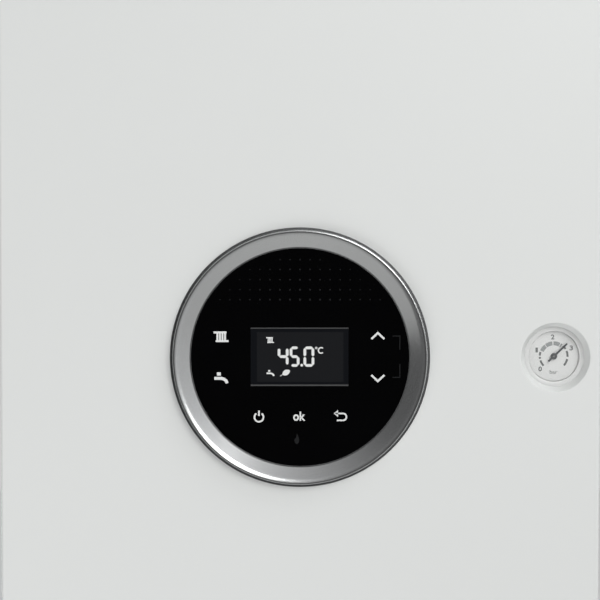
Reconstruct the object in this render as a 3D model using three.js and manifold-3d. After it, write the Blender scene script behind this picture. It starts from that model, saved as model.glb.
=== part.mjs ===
// A wall-hung condensing combi boiler with a round glass display and a sunk pressure gauge.
// Millimetres. +X is to the right seen from the front, +Z is up, the wall is the plane y = 0 and the
// front faces -Y. The origin is the middle of the wall bracket's back face.
import * as THREE from "three";
import { mergeVertices } from "three/addons/utils/BufferGeometryUtils.js";
import Module from "manifold-3d";

const wasm = await Module();
wasm.setup();

// ---- Driving dimensions ----

// Casing
const casingWidth = 400;
const casingHeight = 745;
const casingDepth = 320;
const hangingDrop = 50; // from the casing's top down to the middle of the wall bracket
const skin = 1.2; // painted steel sheet
const frameSheet = 1.5; // galvanised steel sheet
const gap = 0.3; // between pieces that touch
const coverDepth = 55.7;
const coverRounding = 5;
const coverFlange = 6; // the cover's inward flange, which presses the seal
const sealThickness = 4.7;
const sealWidth = 5;
const panelFlange = 15;
const bottomPlateHeight = 35; // above the casing's lower edge
const wallStandOff = 8;

// Wall bracket
const bracketWidth = 300;
const bracketHeight = 44;
const bracketSheet = 2;
const hookReach = 12;
const hookLip = 10;

// Display
const displayHeight = 180; // above the casing's lower edge
const ringBore = 72.8; // the glass that shows
const ringSlope = 8; // how wide the band is that slopes in to the glass
const ringCrest = 6; // in front of the cover
const glassLap = 2.2; // how far the ring laps over the glass
const glassThickness = 2;
const glassDepth = 1.3; // behind the cover's face
const lcdWidth = 76;
const lcdHeight = 50;
const lcdThickness = 6;

// Pressure gauge
const gaugeInset = 29.7; // from the casing's side
const coneRadius = 23;
const coneEnd = 20; // its inner end
const coneDepth = 8.2;
const gaugeRim = 21;
const dialRadius = 16.7;
const dialDepth = 12;
const needleLength = 12.4;
const needleTail = 5;
const needleWidth = 1.4;
const needleAngle = 43.7; // degrees anticlockwise from the right, about 2.7 bar

// Control box
const boxClearance = 18; // to the casing's sides
const boxLow = 70;
const boxHigh = 290;
const boxDepth = 68;
const boxInset = 35; // behind the cover's face
const boxWall = 2.5;
const hingeHeight = 62;
const hingeInset = 72; // behind the cover's face
const hingePin = 4;

// Heat cell
const cellX = -62;
const cellHeight = 540;
const cellRadius = 112;
const cellWall = 4;
const footHeight = 28; // from the shelf up to the heat cell
const cellBack = 95;
const cellFront = 235;
const coilTube = 7;
const coilTurns = 5;
const coilPitch = 20;
const burnerRadius = 34;
const doorThickness = 7.7;
const ductDepth = 38;
const domeRadius = 46;

// Fan
const fanClearance = 14; // between its volute and the heat cell
const fanHeight = 530;
const voluteRadius = 58;
const voluteBack = 246;
const voluteFront = 288;
const voluteWall = 2.5;
const wheelRadius = 47;
const bladeCount = 12;
const motorShaft = 3;

// Flue
const flueForward = 150;
const fluePipeRadius = 30;
const flueOuterRadius = 50;
const flueRise = 60; // above the casing's top
const flueWall = 2;

// Expansion vessel
const vesselClearance = 10; // above the shelf
const vesselRadius = 150;
const vesselThickness = 70;
const vesselPortX = 100;

// Water side
const tailSpacing = 65; // between neighbouring pipe tails
const tailForward = 115;
const tailDrop = 38; // below the casing's lower edge
const tailRadius = 11;
const tailBore = 8;
const pipeRadius = 8;
const bodyRadius = 16;
const pumpHeight = 158;
const pumpRadius = 44;
const pumpDepth = 40;
const pumpMotorRadius = 41;
const pumpMotorDepth = 70;
const impellerRadius = 34;
const stemRadius = 3;
const plateWidth = 180;
const plateTall = 70;
const plateBack = 28;
const plateFront = 74;

// ---- Places worked out from them ----

const sideX = casingWidth / 2;
const hangingHeight = casingHeight - hangingDrop;
const coverBack = casingDepth - coverDepth; // distances from the wall
const panelFront = coverBack - sealThickness - gap;
const innerX = sideX - skin;
const gaugeX = sideX - gaugeInset;
const boxHalfWidth = sideX - boxClearance;
const boxFront = casingDepth - boxInset;
const boxBack = boxFront - boxDepth;
const hingeForward = casingDepth - hingeInset;
const shelfTop = cellHeight - cellRadius - footHeight;
const vesselHeight = shelfTop + vesselClearance + vesselRadius;
const suctionEnd = pumpHeight - pumpRadius - 7; // where the return manifold meets the pump
const plateLow = suctionEnd - 22;
const plateHigh = plateLow + plateTall;
const frameX = innerX - gap;
const frameFront = wallStandOff + frameSheet;
const ringSpigot = ringBore + ringSlope + 1.2;
const ringRadius = ringSpigot + 4.7;
const glassRadius = ringBore + glassLap;
const fanX = cellX + cellRadius + fanClearance + voluteRadius;
const flowX = -2 * tailSpacing;
const hotX = -tailSpacing;
const gasX = 0;
const coldX = tailSpacing;
const returnX = 2 * tailSpacing;

// ---- Shaping ----

const turnedSides = 24;

// How far a turned hole's flats lie from its axis.
function toFlats(radius) {
  return radius * Math.cos(Math.PI / turnedSides);
}

// A closed mesh as a solid with its faces turned outwards.
function solidOf(geometry) {
  const bare = geometry.clone();
  bare.deleteAttribute("normal");
  bare.deleteAttribute("uv");
  const merged = mergeVertices(bare, 1e-4);
  const points = merged.attributes.position;
  const corner = [new THREE.Vector3(), new THREE.Vector3(), new THREE.Vector3()];
  const triangles = [];
  let volume = 0;
  for (let i = 0; i < merged.index.count; i += 3) {
    const [a, b, c] = [0, 1, 2].map((k) => merged.index.getX(i + k));
    if (a === b || b === c || c === a) continue;
    triangles.push(a, b, c);
    [a, b, c].forEach((vertex, k) => corner[k].fromBufferAttribute(points, vertex));
    volume += corner[0].dot(corner[1].cross(corner[2]));
  }
  if (volume < 0) triangles.reverse();
  const vertProperties = new Float32Array(points.array);
  const triVerts = new Uint32Array(triangles);
  return new wasm.Manifold(new wasm.Mesh({ numProp: 3, vertProperties, triVerts }));
}

function geometryOf(solid) {
  const { vertProperties, triVerts } = solid.getMesh();
  const geometry = new THREE.BufferGeometry();
  geometry.setAttribute("position", new THREE.BufferAttribute(new Float32Array(vertProperties), 3));
  geometry.setIndex(new THREE.BufferAttribute(new Uint32Array(triVerts), 1));
  return geometry;
}

function join(...geometries) {
  return geometryOf(geometries.map(solidOf).reduce((whole, next) => whole.add(next)));
}

function cut(body, ...tools) {
  return geometryOf(tools.map(solidOf).reduce((rest, tool) => rest.subtract(tool), solidOf(body)));
}

// A block between two opposite corners, given in any order.
function block(corner, opposite) {
  const size = corner.map((value, i) => Math.abs(opposite[i] - value));
  const middle = corner.map((value, i) => (opposite[i] + value) / 2);
  return new THREE.BoxGeometry(...size).translate(...middle);
}

// A round bar between two points. Six sides make a hexagon.
function bar(from, to, radius, sides = 12, endRadius = radius) {
  const start = new THREE.Vector3(...from);
  const run = new THREE.Vector3(...to).sub(start);
  const geometry = new THREE.CylinderGeometry(endRadius, radius, run.length(), sides);
  geometry.translate(0, run.length() / 2, 0);
  const turn = new THREE.Quaternion().setFromUnitVectors(new THREE.Vector3(0, 1, 0), run.normalize());
  return geometry.applyQuaternion(turn).translate(...from);
}

// Bars that run sideways, towards the front and upwards, each from one place to another.
function barAcross(forward, height, from, to, radius, sides) {
  return bar([from, -forward, height], [to, -forward, height], radius, sides);
}

function barForward(x, height, from, to, radius, sides) {
  return bar([x, -from, height], [x, -to, height], radius, sides);
}

function barUp(x, forward, from, to, radius, sides) {
  return bar([x, -forward, from], [x, -forward, to], radius, sides);
}

// A body turned about the Y axis: each point is its radius and its distance towards the front.
function turned(profile, sides = turnedSides) {
  const points = profile.map(([radius, forward]) => new THREE.Vector2(radius, -forward));
  return new THREE.LatheGeometry(points, sides);
}

// The same body turned about the Z axis: each point is its radius and its height.
function upright(profile, sides = 20) {
  const points = profile.map(([radius, height]) => new THREE.Vector2(radius, height));
  return new THREE.LatheGeometry(points, sides).rotateX(Math.PI / 2);
}

// A solid disc's or drum's profile, and a tube's, which closes on itself.
function drumProfile(radius, start, end) {
  return [[0, start], [radius, start], [radius, end], [0, end]];
}

function tubeProfile(outer, inner, start, end) {
  return [[outer, start], [outer, end], [inner, end], [inner, start], [outer, start]];
}

function roundedRectangle(halfWidth, low, high, radius) {
  const shape = new THREE.Shape();
  shape.moveTo(-halfWidth + radius, low);
  shape.lineTo(halfWidth - radius, low);
  shape.absarc(halfWidth - radius, low + radius, radius, -Math.PI / 2, 0);
  shape.lineTo(halfWidth, high - radius);
  shape.absarc(halfWidth - radius, high - radius, radius, 0, Math.PI / 2);
  shape.lineTo(-halfWidth + radius, high);
  shape.absarc(-halfWidth + radius, high - radius, radius, Math.PI / 2, Math.PI);
  shape.lineTo(-halfWidth, low + radius);
  shape.absarc(-halfWidth + radius, low + radius, radius, Math.PI, 1.5 * Math.PI);
  return shape;
}

// An upright outline pulled towards the front, from one distance off the wall to another.
function standing(shape, back, front, curveSegments = 4) {
  const options = { depth: front - back, bevelEnabled: false, curveSegments };
  const geometry = new THREE.ExtrudeGeometry(shape, options);
  return geometry.rotateX(Math.PI / 2).translate(0, -back, 0);
}

// A pan's outer or inner form: an upright rectangle whose front edges are rounded.
function cushionedFront(halfWidth, low, high, back, front, rounding) {
  const shape = roundedRectangle(halfWidth - rounding, low + rounding, high - rounding, rounding / 2);
  const whole = new THREE.ExtrudeGeometry(shape, {
    depth: front - back - rounding, bevelSize: rounding, bevelThickness: rounding,
    bevelSegments: 2, curveSegments: 2,
  });
  whole.rotateX(Math.PI / 2).translate(0, -back, 0);
  const behind = block([-2 * halfWidth, -back, low - halfWidth], [2 * halfWidth, 0, high + halfWidth]);
  return cut(whole, behind);
}

// Straight runs joined by bends: every inner point is the corner of a bend.
function bentPath(points, bend) {
  const corners = points.map((point) => new THREE.Vector3(...point));
  const path = new THREE.CurvePath();
  let start = corners[0];
  for (let i = 1; i < corners.length - 1; i++) {
    const [before, corner, after] = corners.slice(i - 1, i + 2);
    const entry = before.clone().sub(corner).setLength(bend).add(corner);
    const exit = after.clone().sub(corner).setLength(bend).add(corner);
    path.add(new THREE.LineCurve3(start, entry));
    path.add(new THREE.QuadraticBezierCurve3(entry, corner, exit));
    start = exit;
  }
  path.add(new THREE.LineCurve3(start, corners.at(-1)));
  return path;
}

function swept(path, radius, steps, sides) {
  const circle = Array.from({ length: sides }, (_, i) => {
    const angle = (2 * Math.PI * i) / sides;
    return new THREE.Vector2(radius * Math.cos(angle), radius * Math.sin(angle));
  });
  return new THREE.ExtrudeGeometry(new THREE.Shape(circle), { steps, extrudePath: path });
}

function pipe(points, radius, bend, sides = 8, stepLength = 3.5 * radius) {
  const path = bentPath(points, bend);
  return swept(path, radius, Math.min(60, Math.ceil(path.getLength() / stepLength)), sides);
}

const bothSides = [-1, 1];

// ---- Finishes ----

function finish(color, roughness, metalness) {
  return new THREE.MeshStandardMaterial({ color, roughness, metalness });
}

const whitePaint = () => finish(0xdddfde, 0.35, 0);
const galvanised = () => finish(0x9fa3a4, 0.45, 0.9);
const stainless = () => finish(0xb4b6b5, 0.3, 1);
const castAluminium = () => finish(0x8c8f90, 0.55, 0.9);
const brass = () => finish(0xb8995a, 0.35, 1);
const copper = () => finish(0xb7714d, 0.3, 1);
const blackPlastic = () => finish(0x1b1c1e, 0.5, 0);
const greyPlastic = () => finish(0x55585b, 0.55, 0);
const rubber = () => finish(0x161616, 0.85, 0);
const boardGreen = () => finish(0x1d5a3c, 0.5, 0);

// ---- Assembly ----

const object = new THREE.Group();
// Everything but the wall bracket is placed from the casing's lower edge.
const boiler = new THREE.Group();
boiler.position.z = -hangingHeight;
object.add(boiler);

function group(parent, x, forward, height) {
  const place = new THREE.Group();
  place.position.set(x, -forward, height);
  parent.add(place);
  return place;
}

function piece(parent, name, material, geometry) {
  const mesh = new THREE.Mesh(geometryOf(solidOf(geometry)), material);
  mesh.name = name;
  parent.add(mesh);
}

// ---- Wall bracket: a folded plate screwed to the wall, with a hook along its top ----

function wallBracket() {
  const half = bracketWidth / 2;
  const low = -bracketHeight / 2;
  const ledge = low + bracketHeight - bracketSheet;
  const plate = block([-half, 0, low], [half, -bracketSheet, ledge + bracketSheet]);
  const shelf = block([-half, -1, ledge], [half, -hookReach, ledge + bracketSheet]);
  const lip = block(
    [-half, -hookReach, ledge], [half, -hookReach + bracketSheet, ledge + bracketSheet + hookLip]);
  const screwHoles = [-2, -1, 1, 2].map((step) =>
    barForward(step * 60, 0, -1, bracketSheet + 1, 4, 10));
  return cut(join(plate, shelf, lip), ...screwHoles);
}
piece(object, "wall_bracket", galvanised(), wallBracket());

// ---- Rear frame: a tray with the slot that hangs on the bracket and the shelf under the heat cell ----

const condensateBore = 13;
const shelfHalf = cellRadius - 59;

function rearFrame() {
  const top = casingHeight - skin - gap;
  const flange = 18;
  const outer = block([-frameX, -wallStandOff, 2], [frameX, -wallStandOff - flange, top]);
  const inner = block(
    [-frameX + frameSheet, -frameFront, 2 + frameSheet],
    [frameX - frameSheet, -wallStandOff - flange - 1, top - frameSheet],
  );
  const slotTop = hangingHeight + bracketHeight / 2 + gap;
  const slotHeight = bracketSheet + hookLip + 4;
  const slotHalf = bracketWidth / 2 + 4;
  const slot = block([-slotHalf, 0, slotTop - slotHeight], [slotHalf, -frameFront - 1, slotTop]);
  const feet = bothSides.map((side) => block([side * 135, 0, 40], [side * 165, -frameFront + 0.5, 60]));
  const shelf = block(
    [cellX - shelfHalf, -wallStandOff - 0.5, shelfTop - 2], [cellX + shelfHalf, -215, shelfTop]);
  const gussets = bothSides.map((side) => {
    const shape = new THREE.Shape();
    shape.moveTo(wallStandOff + 0.5, shelfTop - 1);
    shape.lineTo(205, shelfTop - 1);
    shape.lineTo(wallStandOff + 0.5, shelfTop - 60);
    const x = cellX + side * (shelfHalf - 1);
    const plate = new THREE.ExtrudeGeometry(shape, { depth: frameSheet, bevelEnabled: false });
    return plate.rotateX(Math.PI / 2).rotateZ(-Math.PI / 2).translate(x - frameSheet / 2, 0, 0);
  });
  const drain = barUp(cellX, flueForward, shelfTop - 5, shelfTop + 5, condensateBore);
  return cut(join(cut(outer, inner, slot), ...feet, shelf, ...gussets), drain);
}
piece(boiler, "rear_frame", galvanised(), rearFrame());

// ---- Top plate with the flue hole ----

function topPlate() {
  const flangeHalf = sideX - panelFlange - gap;
  const plate = block([-frameX, -3, casingHeight - skin], [frameX, -panelFront, casingHeight]);
  const frontFlange = block(
    [-flangeHalf, -panelFront, casingHeight - panelFlange],
    [flangeHalf, -panelFront + skin, casingHeight - 0.5],
  );
  const flueHole = barUp(
    0, flueForward, casingHeight - 5, casingHeight + 5, flueOuterRadius + 1, turnedSides);
  return cut(join(plate, frontFlange), flueHole);
}
piece(boiler, "top_plate", whitePaint(), topPlate());

// ---- Bottom plate: carries the pipe tails, the control box's hinge ears and the cover's screw feet ----

const plateTop = bottomPlateHeight + frameSheet;
const footX = sideX - 50;
const footHalf = 15;
const screwForward = hingeForward - 2;
const screwRadius = 2;
const earInner = boxHalfWidth + 2.2;
const earRadius = 8;
const trapX = hotX - 33;
const trapForward = 160;
const fillX = returnX + 28;
const fillForward = 150;
const glandX = 35 - sideX;
const glandForward = 60;
const glandRadius = 9;

function bottomPlate() {
  const half = frameX - frameSheet - gap;
  const flangeHalf = sideX - panelFlange - gap;
  const top = plateTop;
  const plate = block([-half, -frameFront - gap, bottomPlateHeight], [half, -panelFront + frameSheet, top]);
  const nose = block([-flangeHalf, -200, bottomPlateHeight], [flangeHalf, -panelFront + 0.5, top]);
  const frontFlange = block(
    [-flangeHalf, -panelFront, frameSheet], [flangeHalf, -panelFront + frameSheet, top]);
  const sideFlanges = bothSides.map((side) =>
    block([side * half, -30, bottomPlateHeight - 15], [side * (half - frameSheet), -250, top]));
  const feet = bothSides.map((side) => block(
    [side * footX - footHalf, -panelFront, frameSheet],
    [side * footX + footHalf, -screwForward + 10, 2 * frameSheet],
  ));
  const ears = bothSides.map((side) => {
    const [inside, outside] = [side * earInner, side * (earInner + frameSheet)];
    const tongue = block(
      [inside, -hingeForward - earRadius, top - 1], [outside, -hingeForward + earRadius, hingeHeight]);
    const eye = barAcross(hingeForward, hingeHeight, inside, outside, earRadius);
    return join(tongue, eye);
  });
  const pinHoles = bothSides.map((side) => barAcross(
    hingeForward, hingeHeight, side * (earInner - 1), side * (earInner + 3), hingePin + gap));
  const screwSlots = bothSides.map((side) => block(
    [side * footX - screwRadius - 0.5, -screwForward + 3, 1],
    [side * footX + screwRadius + 0.5, -panelFront - 1, 10],
  ));
  const downHole = (x, forward, radius) =>
    barUp(x, forward, bottomPlateHeight - 5, top + 5, radius);
  const tailHoles = [flowX, hotX, gasX, coldX, returnX].map((x) =>
    downHole(x, tailForward, tailRadius + 2));
  return cut(
    join(plate, nose, frontFlange, ...sideFlanges, ...feet, ...ears),
    ...pinHoles, ...screwSlots, ...tailHoles,
    downHole(trapX, trapForward, 10), downHole(fillX, fillForward, 7),
    downHole(glandX, glandForward, glandRadius + gap),
  );
}
piece(boiler, "bottom_plate", galvanised(), bottomPlate());

// ---- Side panels: painted sheets with a hem behind the seal ----

function sidePanel(side) {
  const sheet = block([side * innerX, -3, 0], [side * sideX, -panelFront, casingHeight]);
  const hem = block(
    [side * (sideX - panelFlange), -panelFront, frameSheet],
    [side * (sideX - 0.5), -panelFront + skin, casingHeight - frameSheet],
  );
  return join(sheet, hem);
}
piece(boiler, "side_panel_left", whitePaint(), sidePanel(-1));
piece(boiler, "side_panel_right", whitePaint(), sidePanel(1));

// ---- Front cover: a deep pan with the display hole, the gauge's drawn cone and two screw tabs ----

function frontCover() {
  const inside = coverRounding - skin;
  const outer = cushionedFront(sideX, 0, casingHeight, coverBack, casingDepth, coverRounding);
  const cavity = cushionedFront(
    sideX - skin, skin, casingHeight - skin, coverBack + skin, casingDepth - skin, inside);
  const mouthX = innerX - coverFlange;
  const mouth = block(
    [-mouthX, -coverBack + 1, skin + coverFlange],
    [mouthX, -coverBack - skin - 1, casingHeight - skin - coverFlange],
  );
  const [behind, inFront] = [casingDepth - 20, casingDepth + 10];
  const displayHole = barForward(0, displayHeight, behind, inFront, ringSpigot + gap, 40);
  const coneHole = barForward(gaugeX, displayHeight, behind, inFront, coneRadius + 0.6, turnedSides);
  const cone = turned([
    [coneRadius, 0], [coneEnd, -coneDepth], [coneEnd + skin, -coneDepth],
    [coneRadius + 1.4, -skin], [coneRadius + 1.6, 0], [coneRadius, 0],
  ]).translate(gaugeX, -casingDepth, displayHeight);
  const tabs = bothSides.map((side) => block(
    [side * footX - footHalf, -coverBack - 1, 0],
    [side * footX + footHalf, -screwForward + 10, skin],
  ));
  const tabHoles = bothSides.map((side) =>
    barUp(side * footX, screwForward, -1, 3, screwRadius + gap, 10));
  return cut(join(cut(outer, cavity, mouth, displayHole, coneHole), cone, ...tabs), ...tabHoles);
}
piece(boiler, "front_cover", whitePaint(), frontCover());

// ---- Cover seal: a foam strip round the cover's mouth ----

function coverSeal() {
  const innerHalf = innerX - coverFlange;
  const low = skin + coverFlange;
  const back = panelFront + gap;
  const front = coverBack - gap;
  const frame = block(
    [-innerHalf - sealWidth, -back, low - sealWidth],
    [innerHalf + sealWidth, -front, casingHeight - low + sealWidth],
  );
  const opening = block([-innerHalf, -back + 1, low], [innerHalf, -front - 1, casingHeight - low]);
  return cut(frame, opening);
}
piece(boiler, "cover_seal", rubber(), coverSeal());

// ---- Cover screws: captive in the cover's tabs, with a cross slot ----

function coverScrew() {
  const head = bar([0, 0, -3.3], [0, 0, -gap], 4.5);
  const shank = bar([0, 0, -0.5], [0, 0, 8], screwRadius, 12);
  const slots = [block([-3, -0.5, -4], [3, 0.5, -2]), block([-0.5, -3, -4], [0.5, 3, -2])];
  return cut(join(head, shank), ...slots);
}
for (const [name, side] of [["cover_screw_left", -1], ["cover_screw_right", 1]]) {
  piece(group(boiler, side * footX, screwForward, 0), name, stainless(), coverScrew());
}

// ---- Display: ring on the cover, glass and electronics on the control box ----

const display = group(boiler, 0, casingDepth, displayHeight);

const ringProfile = [
  [ringBore, -0.6], [ringBore + ringSlope, ringCrest - 1.2], [ringBore + ringSlope + 1.8, ringCrest],
  [ringBore + ringSlope + 3.6, ringCrest - 1.2], [ringRadius, gap], [ringSpigot, gap],
  [ringSpigot, -7], [ringSpigot - 2, -7], [ringSpigot - 2, 2.2], [ringBore, -1], [ringBore, -0.6],
];
piece(display, "display_ring", finish(0xa7abac, 0.28, 1), turned(ringProfile, 36));

const glassBack = -glassDepth - glassThickness;
piece(display, "display_glass", finish(0x050506, 0.08, 0), turned([
  [0, -glassDepth], [glassRadius - 0.4, -glassDepth], [glassRadius, -glassDepth - 0.4],
  [glassRadius, glassBack], [0, glassBack],
], 40));

const lcdBack = glassBack - gap - lcdThickness;
piece(display, "lcd_module", finish(0x2a2c30, 0.4, 0), block(
  [-lcdWidth / 2, -(glassBack - gap), -lcdHeight / 2],
  [lcdWidth / 2, -lcdBack, lcdHeight / 2],
));

const boardFront = lcdBack - gap;
const boardThickness = 1.6;
const boardRadius = glassRadius - 7;
piece(display, "display_board", boardGreen(), join(
  turned([[0, boardFront], [boardRadius, boardFront], [boardRadius, boardFront - boardThickness],
    [0, boardFront - boardThickness]]),
  block([-24, -boardFront + 1, -40], [24, -boardFront + 9, -32]),
  block([-16, -boardFront + 1, 8], [2, -boardFront + 5, 26]),
));

const ledge = boardFront - boardThickness - gap;
const cupBack = boxFront - casingDepth + gap;
piece(display, "display_housing", blackPlastic(), turned([
  [glassRadius - 1, glassBack - gap], [glassRadius - 1, cupBack], [8, cupBack], [8, cupBack + 2],
  [boardRadius - 3, cupBack + 2], [boardRadius - 3, ledge], [boardRadius + 1, ledge],
  [glassRadius - 3.5, glassBack - gap], [glassRadius - 1, glassBack - gap],
], 40));

// ---- Pressure gauge: a cup with its stem, dial, needle and lens ----

const gauge = group(boiler, gaugeX, casingDepth, displayHeight);
const gaugeFront = -coneDepth - 0.4;
const gaugeBack = -24;
const gaugeMount = boxFront - casingDepth;
const stemTube = 1.6;

function gaugeBody() {
  const axle = 1.2;
  const cup = turned([
    [gaugeRim, gaugeFront], [gaugeRim, gaugeFront - 1.6], [18.4, gaugeFront - 2], [18.4, gaugeBack],
    [axle, gaugeBack], [axle, -dialDepth - 4], [14, -dialDepth - 4], [14, -dialDepth - 0.9],
    [dialRadius + 0.3, -dialDepth - 0.9], [dialRadius + 0.3, gaugeFront], [gaugeRim, gaugeFront],
  ]);
  const union = bar([0, -gaugeBack - 1, 0], [0, -gaugeMount + 2, 0], 6, 6);
  const backward = -gaugeMount;
  const down = casingDepth - hingeForward;
  const stem = pipe([
    [0, backward, 0], [0, down, 0], [0, down, hingeHeight - displayHeight],
  ], stemTube, 12, 6, 10);
  return join(cup, union, stem);
}
piece(gauge, "gauge_body", whitePaint(), gaugeBody());
piece(gauge, "gauge_dial", finish(0xe4e5e4, 0.6, 0), turned(
  tubeProfile(dialRadius, 1, -dialDepth - 0.6, -dialDepth)));

function gaugeNeedle() {
  const front = -dialDepth + 1.6;
  const back = front - 0.7;
  const shape = new THREE.Shape();
  shape.moveTo(-needleTail, -needleWidth * 0.6);
  shape.lineTo(needleLength, -needleWidth * 0.4);
  shape.lineTo(needleLength, needleWidth * 0.4);
  shape.lineTo(-needleTail, needleWidth * 0.6);
  const hand = standing(shape, back, front);
  const hub = turned([[0, front + 0.5], [1.9, front + 0.5], [2.2, front], [2.2, back], [0, back]], 12);
  const arbor = bar([0, -back, 0], [0, dialDepth + 3, 0], 0.7, 10);
  return join(hand, hub, arbor);
}
const needle = group(gauge, 0, 0, 0);
needle.rotation.y = -THREE.MathUtils.degToRad(needleAngle);
piece(needle, "gauge_needle", finish(0x3b3f43, 0.5, 0), gaugeNeedle());

piece(gauge, "gauge_lens", finish(0xf2f4f4, 0.05, 0), turned(
  drumProfile(dialRadius, gaugeFront - 0.3, gaugeFront - 1.3)));

// The capillary starts on the hinge's axis, where the gauge's stem ends, so the box can swing.
const capillaryRadius = 1.5;
const manifoldPort = [returnX + bodyRadius + 6, -tailForward, 46];
piece(boiler, "gauge_capillary", copper(), pipe([
  [gaugeX, -hingeForward, hingeHeight - stemTube - 1.2],
  [gaugeX, -hingeForward, manifoldPort[2]],
  [gaugeX, -tailForward, manifoldPort[2]],
  [manifoldPort[0] + gap, manifoldPort[1], manifoldPort[2]],
], capillaryRadius, 8, 6, 8));

// ---- Control box: housing with its hinge pins, lid and main board ----

const postX = boxHalfWidth - 32;
const postLow = boxLow + 25;
const postHigh = boxHigh - 25;
const mainBoardFront = boxFront - 13;

function controlBox() {
  const outer = standing(roundedRectangle(boxHalfWidth, boxLow, boxHigh, 8), boxBack, boxFront);
  const cavity = standing(
    roundedRectangle(boxHalfWidth - boxWall, boxLow + boxWall, boxHigh - boxWall, 8 - boxWall),
    boxBack - 1, boxFront - boxWall,
  );
  const posts = bothSides.flatMap((side) => [postLow, postHigh].map((height) =>
    barForward(side * postX, height, boxFront - 1, mainBoardFront + gap, 4, 8)));
  const padRadius = earRadius + 1;
  const pads = bothSides.map((side) => {
    const x = side * (boxHalfWidth - boxWall);
    const web = block(
      [x, -hingeForward - padRadius, hingeHeight],
      [side * boxHalfWidth, -hingeForward + padRadius, boxLow + 20],
    );
    const eye = barAcross(hingeForward, hingeHeight, x, side * boxHalfWidth, padRadius);
    const pin = barAcross(hingeForward, hingeHeight, x, side * (earInner + 2.5), hingePin);
    return join(web, eye, pin);
  });
  const gaugeSeat = casingDepth + gaugeBack - gap;
  const gaugeBoss = barForward(gaugeX, displayHeight, boxFront - 1, gaugeSeat, 11);
  const gaugeHole = barForward(gaugeX, displayHeight, boxFront - 10, casingDepth, 7.5);
  const cableHole = barForward(0, displayHeight, boxFront - 10, boxFront + 10, 8);
  const stemHole = barUp(gaugeX, hingeForward, boxLow - 5, boxLow + 5, 3.5, 12);
  const vents = [-100, -50, 0, 50, 100].map((x) =>
    block([x - 18, -boxBack - 20, boxHigh - 5], [x + 18, -boxBack - 24, boxHigh + 5]));
  const whole = join(cut(outer, cavity), ...posts, ...pads, gaugeBoss);
  return cut(whole, gaugeHole, cableHole, stemHole, ...vents);
}
piece(boiler, "control_box", blackPlastic(), controlBox());

function controlBoxLid() {
  const front = boxBack - gap;
  const plate = standing(roundedRectangle(boxHalfWidth, boxLow, boxHigh, 8), front - 3, front);
  const rim = standing(
    roundedRectangle(boxHalfWidth - boxWall - gap, boxLow + boxWall + gap, boxHigh - boxWall - gap, 5),
    front - 1, front + 6,
  );
  const hollow = standing(
    roundedRectangle(boxHalfWidth - boxWall - 2.3, boxLow + boxWall + 2.3, boxHigh - boxWall - 2.3, 4),
    front, front + 7,
  );
  const cableNotches = [-60, 0, 60].map((x) =>
    block([x - 12, -front + 4, boxLow - 1], [x + 12, -front - 8, boxLow + 12]));
  return cut(join(plate, cut(rim, hollow)), ...cableNotches);
}
piece(boiler, "control_box_lid", blackPlastic(), controlBoxLid());

function mainBoard() {
  const face = mainBoardFront - 1.6;
  const part = (x, height, width, tall, deep) =>
    block([x, -face - 0.5, height], [x + width, -face + deep, height + tall]);
  const board = block([-boxHalfWidth + 17, -mainBoardFront, 82], [boxHalfWidth - 17, -face, 278]);
  const relays = Array.from({ length: 5 }, (_, i) => part(-150 + i * 24, 240, 18, 24, 10));
  const terminals = Array.from({ length: 3 }, (_, i) => part(-140 + i * 70, 90, 56, 16, 18));
  const transformer = part(60, 190, 50, 42, 34);
  const capacitors = [-40, -12, 16].map((x) => barForward(x, 190, face + 0.5, face - 28, 9, 10));
  return join(board, ...relays, ...terminals, transformer, ...capacitors);
}
piece(boiler, "main_board", boardGreen(), mainBoard());

// ---- Mains cable gland in the bottom plate ----

function cableGland() {
  const bottom = bottomPlateHeight - gap;
  const top = plateTop + gap;
  const thread = barUp(0, 0, bottom - 5, top + 8, glandRadius);
  const flange = barUp(0, 0, bottom - 9, bottom, 13, 6);
  const cap = upright([
    [0, bottom - 20], [7, bottom - 20], [11, bottom - 15], [11, bottom - 8], [0, bottom - 8],
  ]);
  const nut = barUp(0, 0, top, top + 5, 13, 6);
  const bore = barUp(0, 0, bottom - 25, top + 12, 4.5, 10);
  return cut(join(thread, flange, cap, nut), bore);
}
piece(group(boiler, glandX, glandForward, 0), "cable_gland", blackPlastic(), cableGland());

// ---- Heat cell: exchanger casing, coil, insulation, burner and door ----

const cell = group(boiler, cellX, 0, cellHeight);
const spigotX = -cellX; // the flue leaves in the middle of the casing
const spigotTop = cellRadius + 23;
const flowPortX = 27 - cellRadius;
const returnPortX = cellRadius - 37;
const portRoot = 52 - cellRadius; // inside the casing's wall
// The ports end clear of the casing's round underside.
const portEnd = -Math.round(Math.sqrt(cellRadius ** 2 - (returnPortX - pipeRadius) ** 2) + 5);
const returnPortForward = 130;
const drainEnd = -cellRadius - 13;
const fluePort = fluePipeRadius + 2 * gap;

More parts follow.
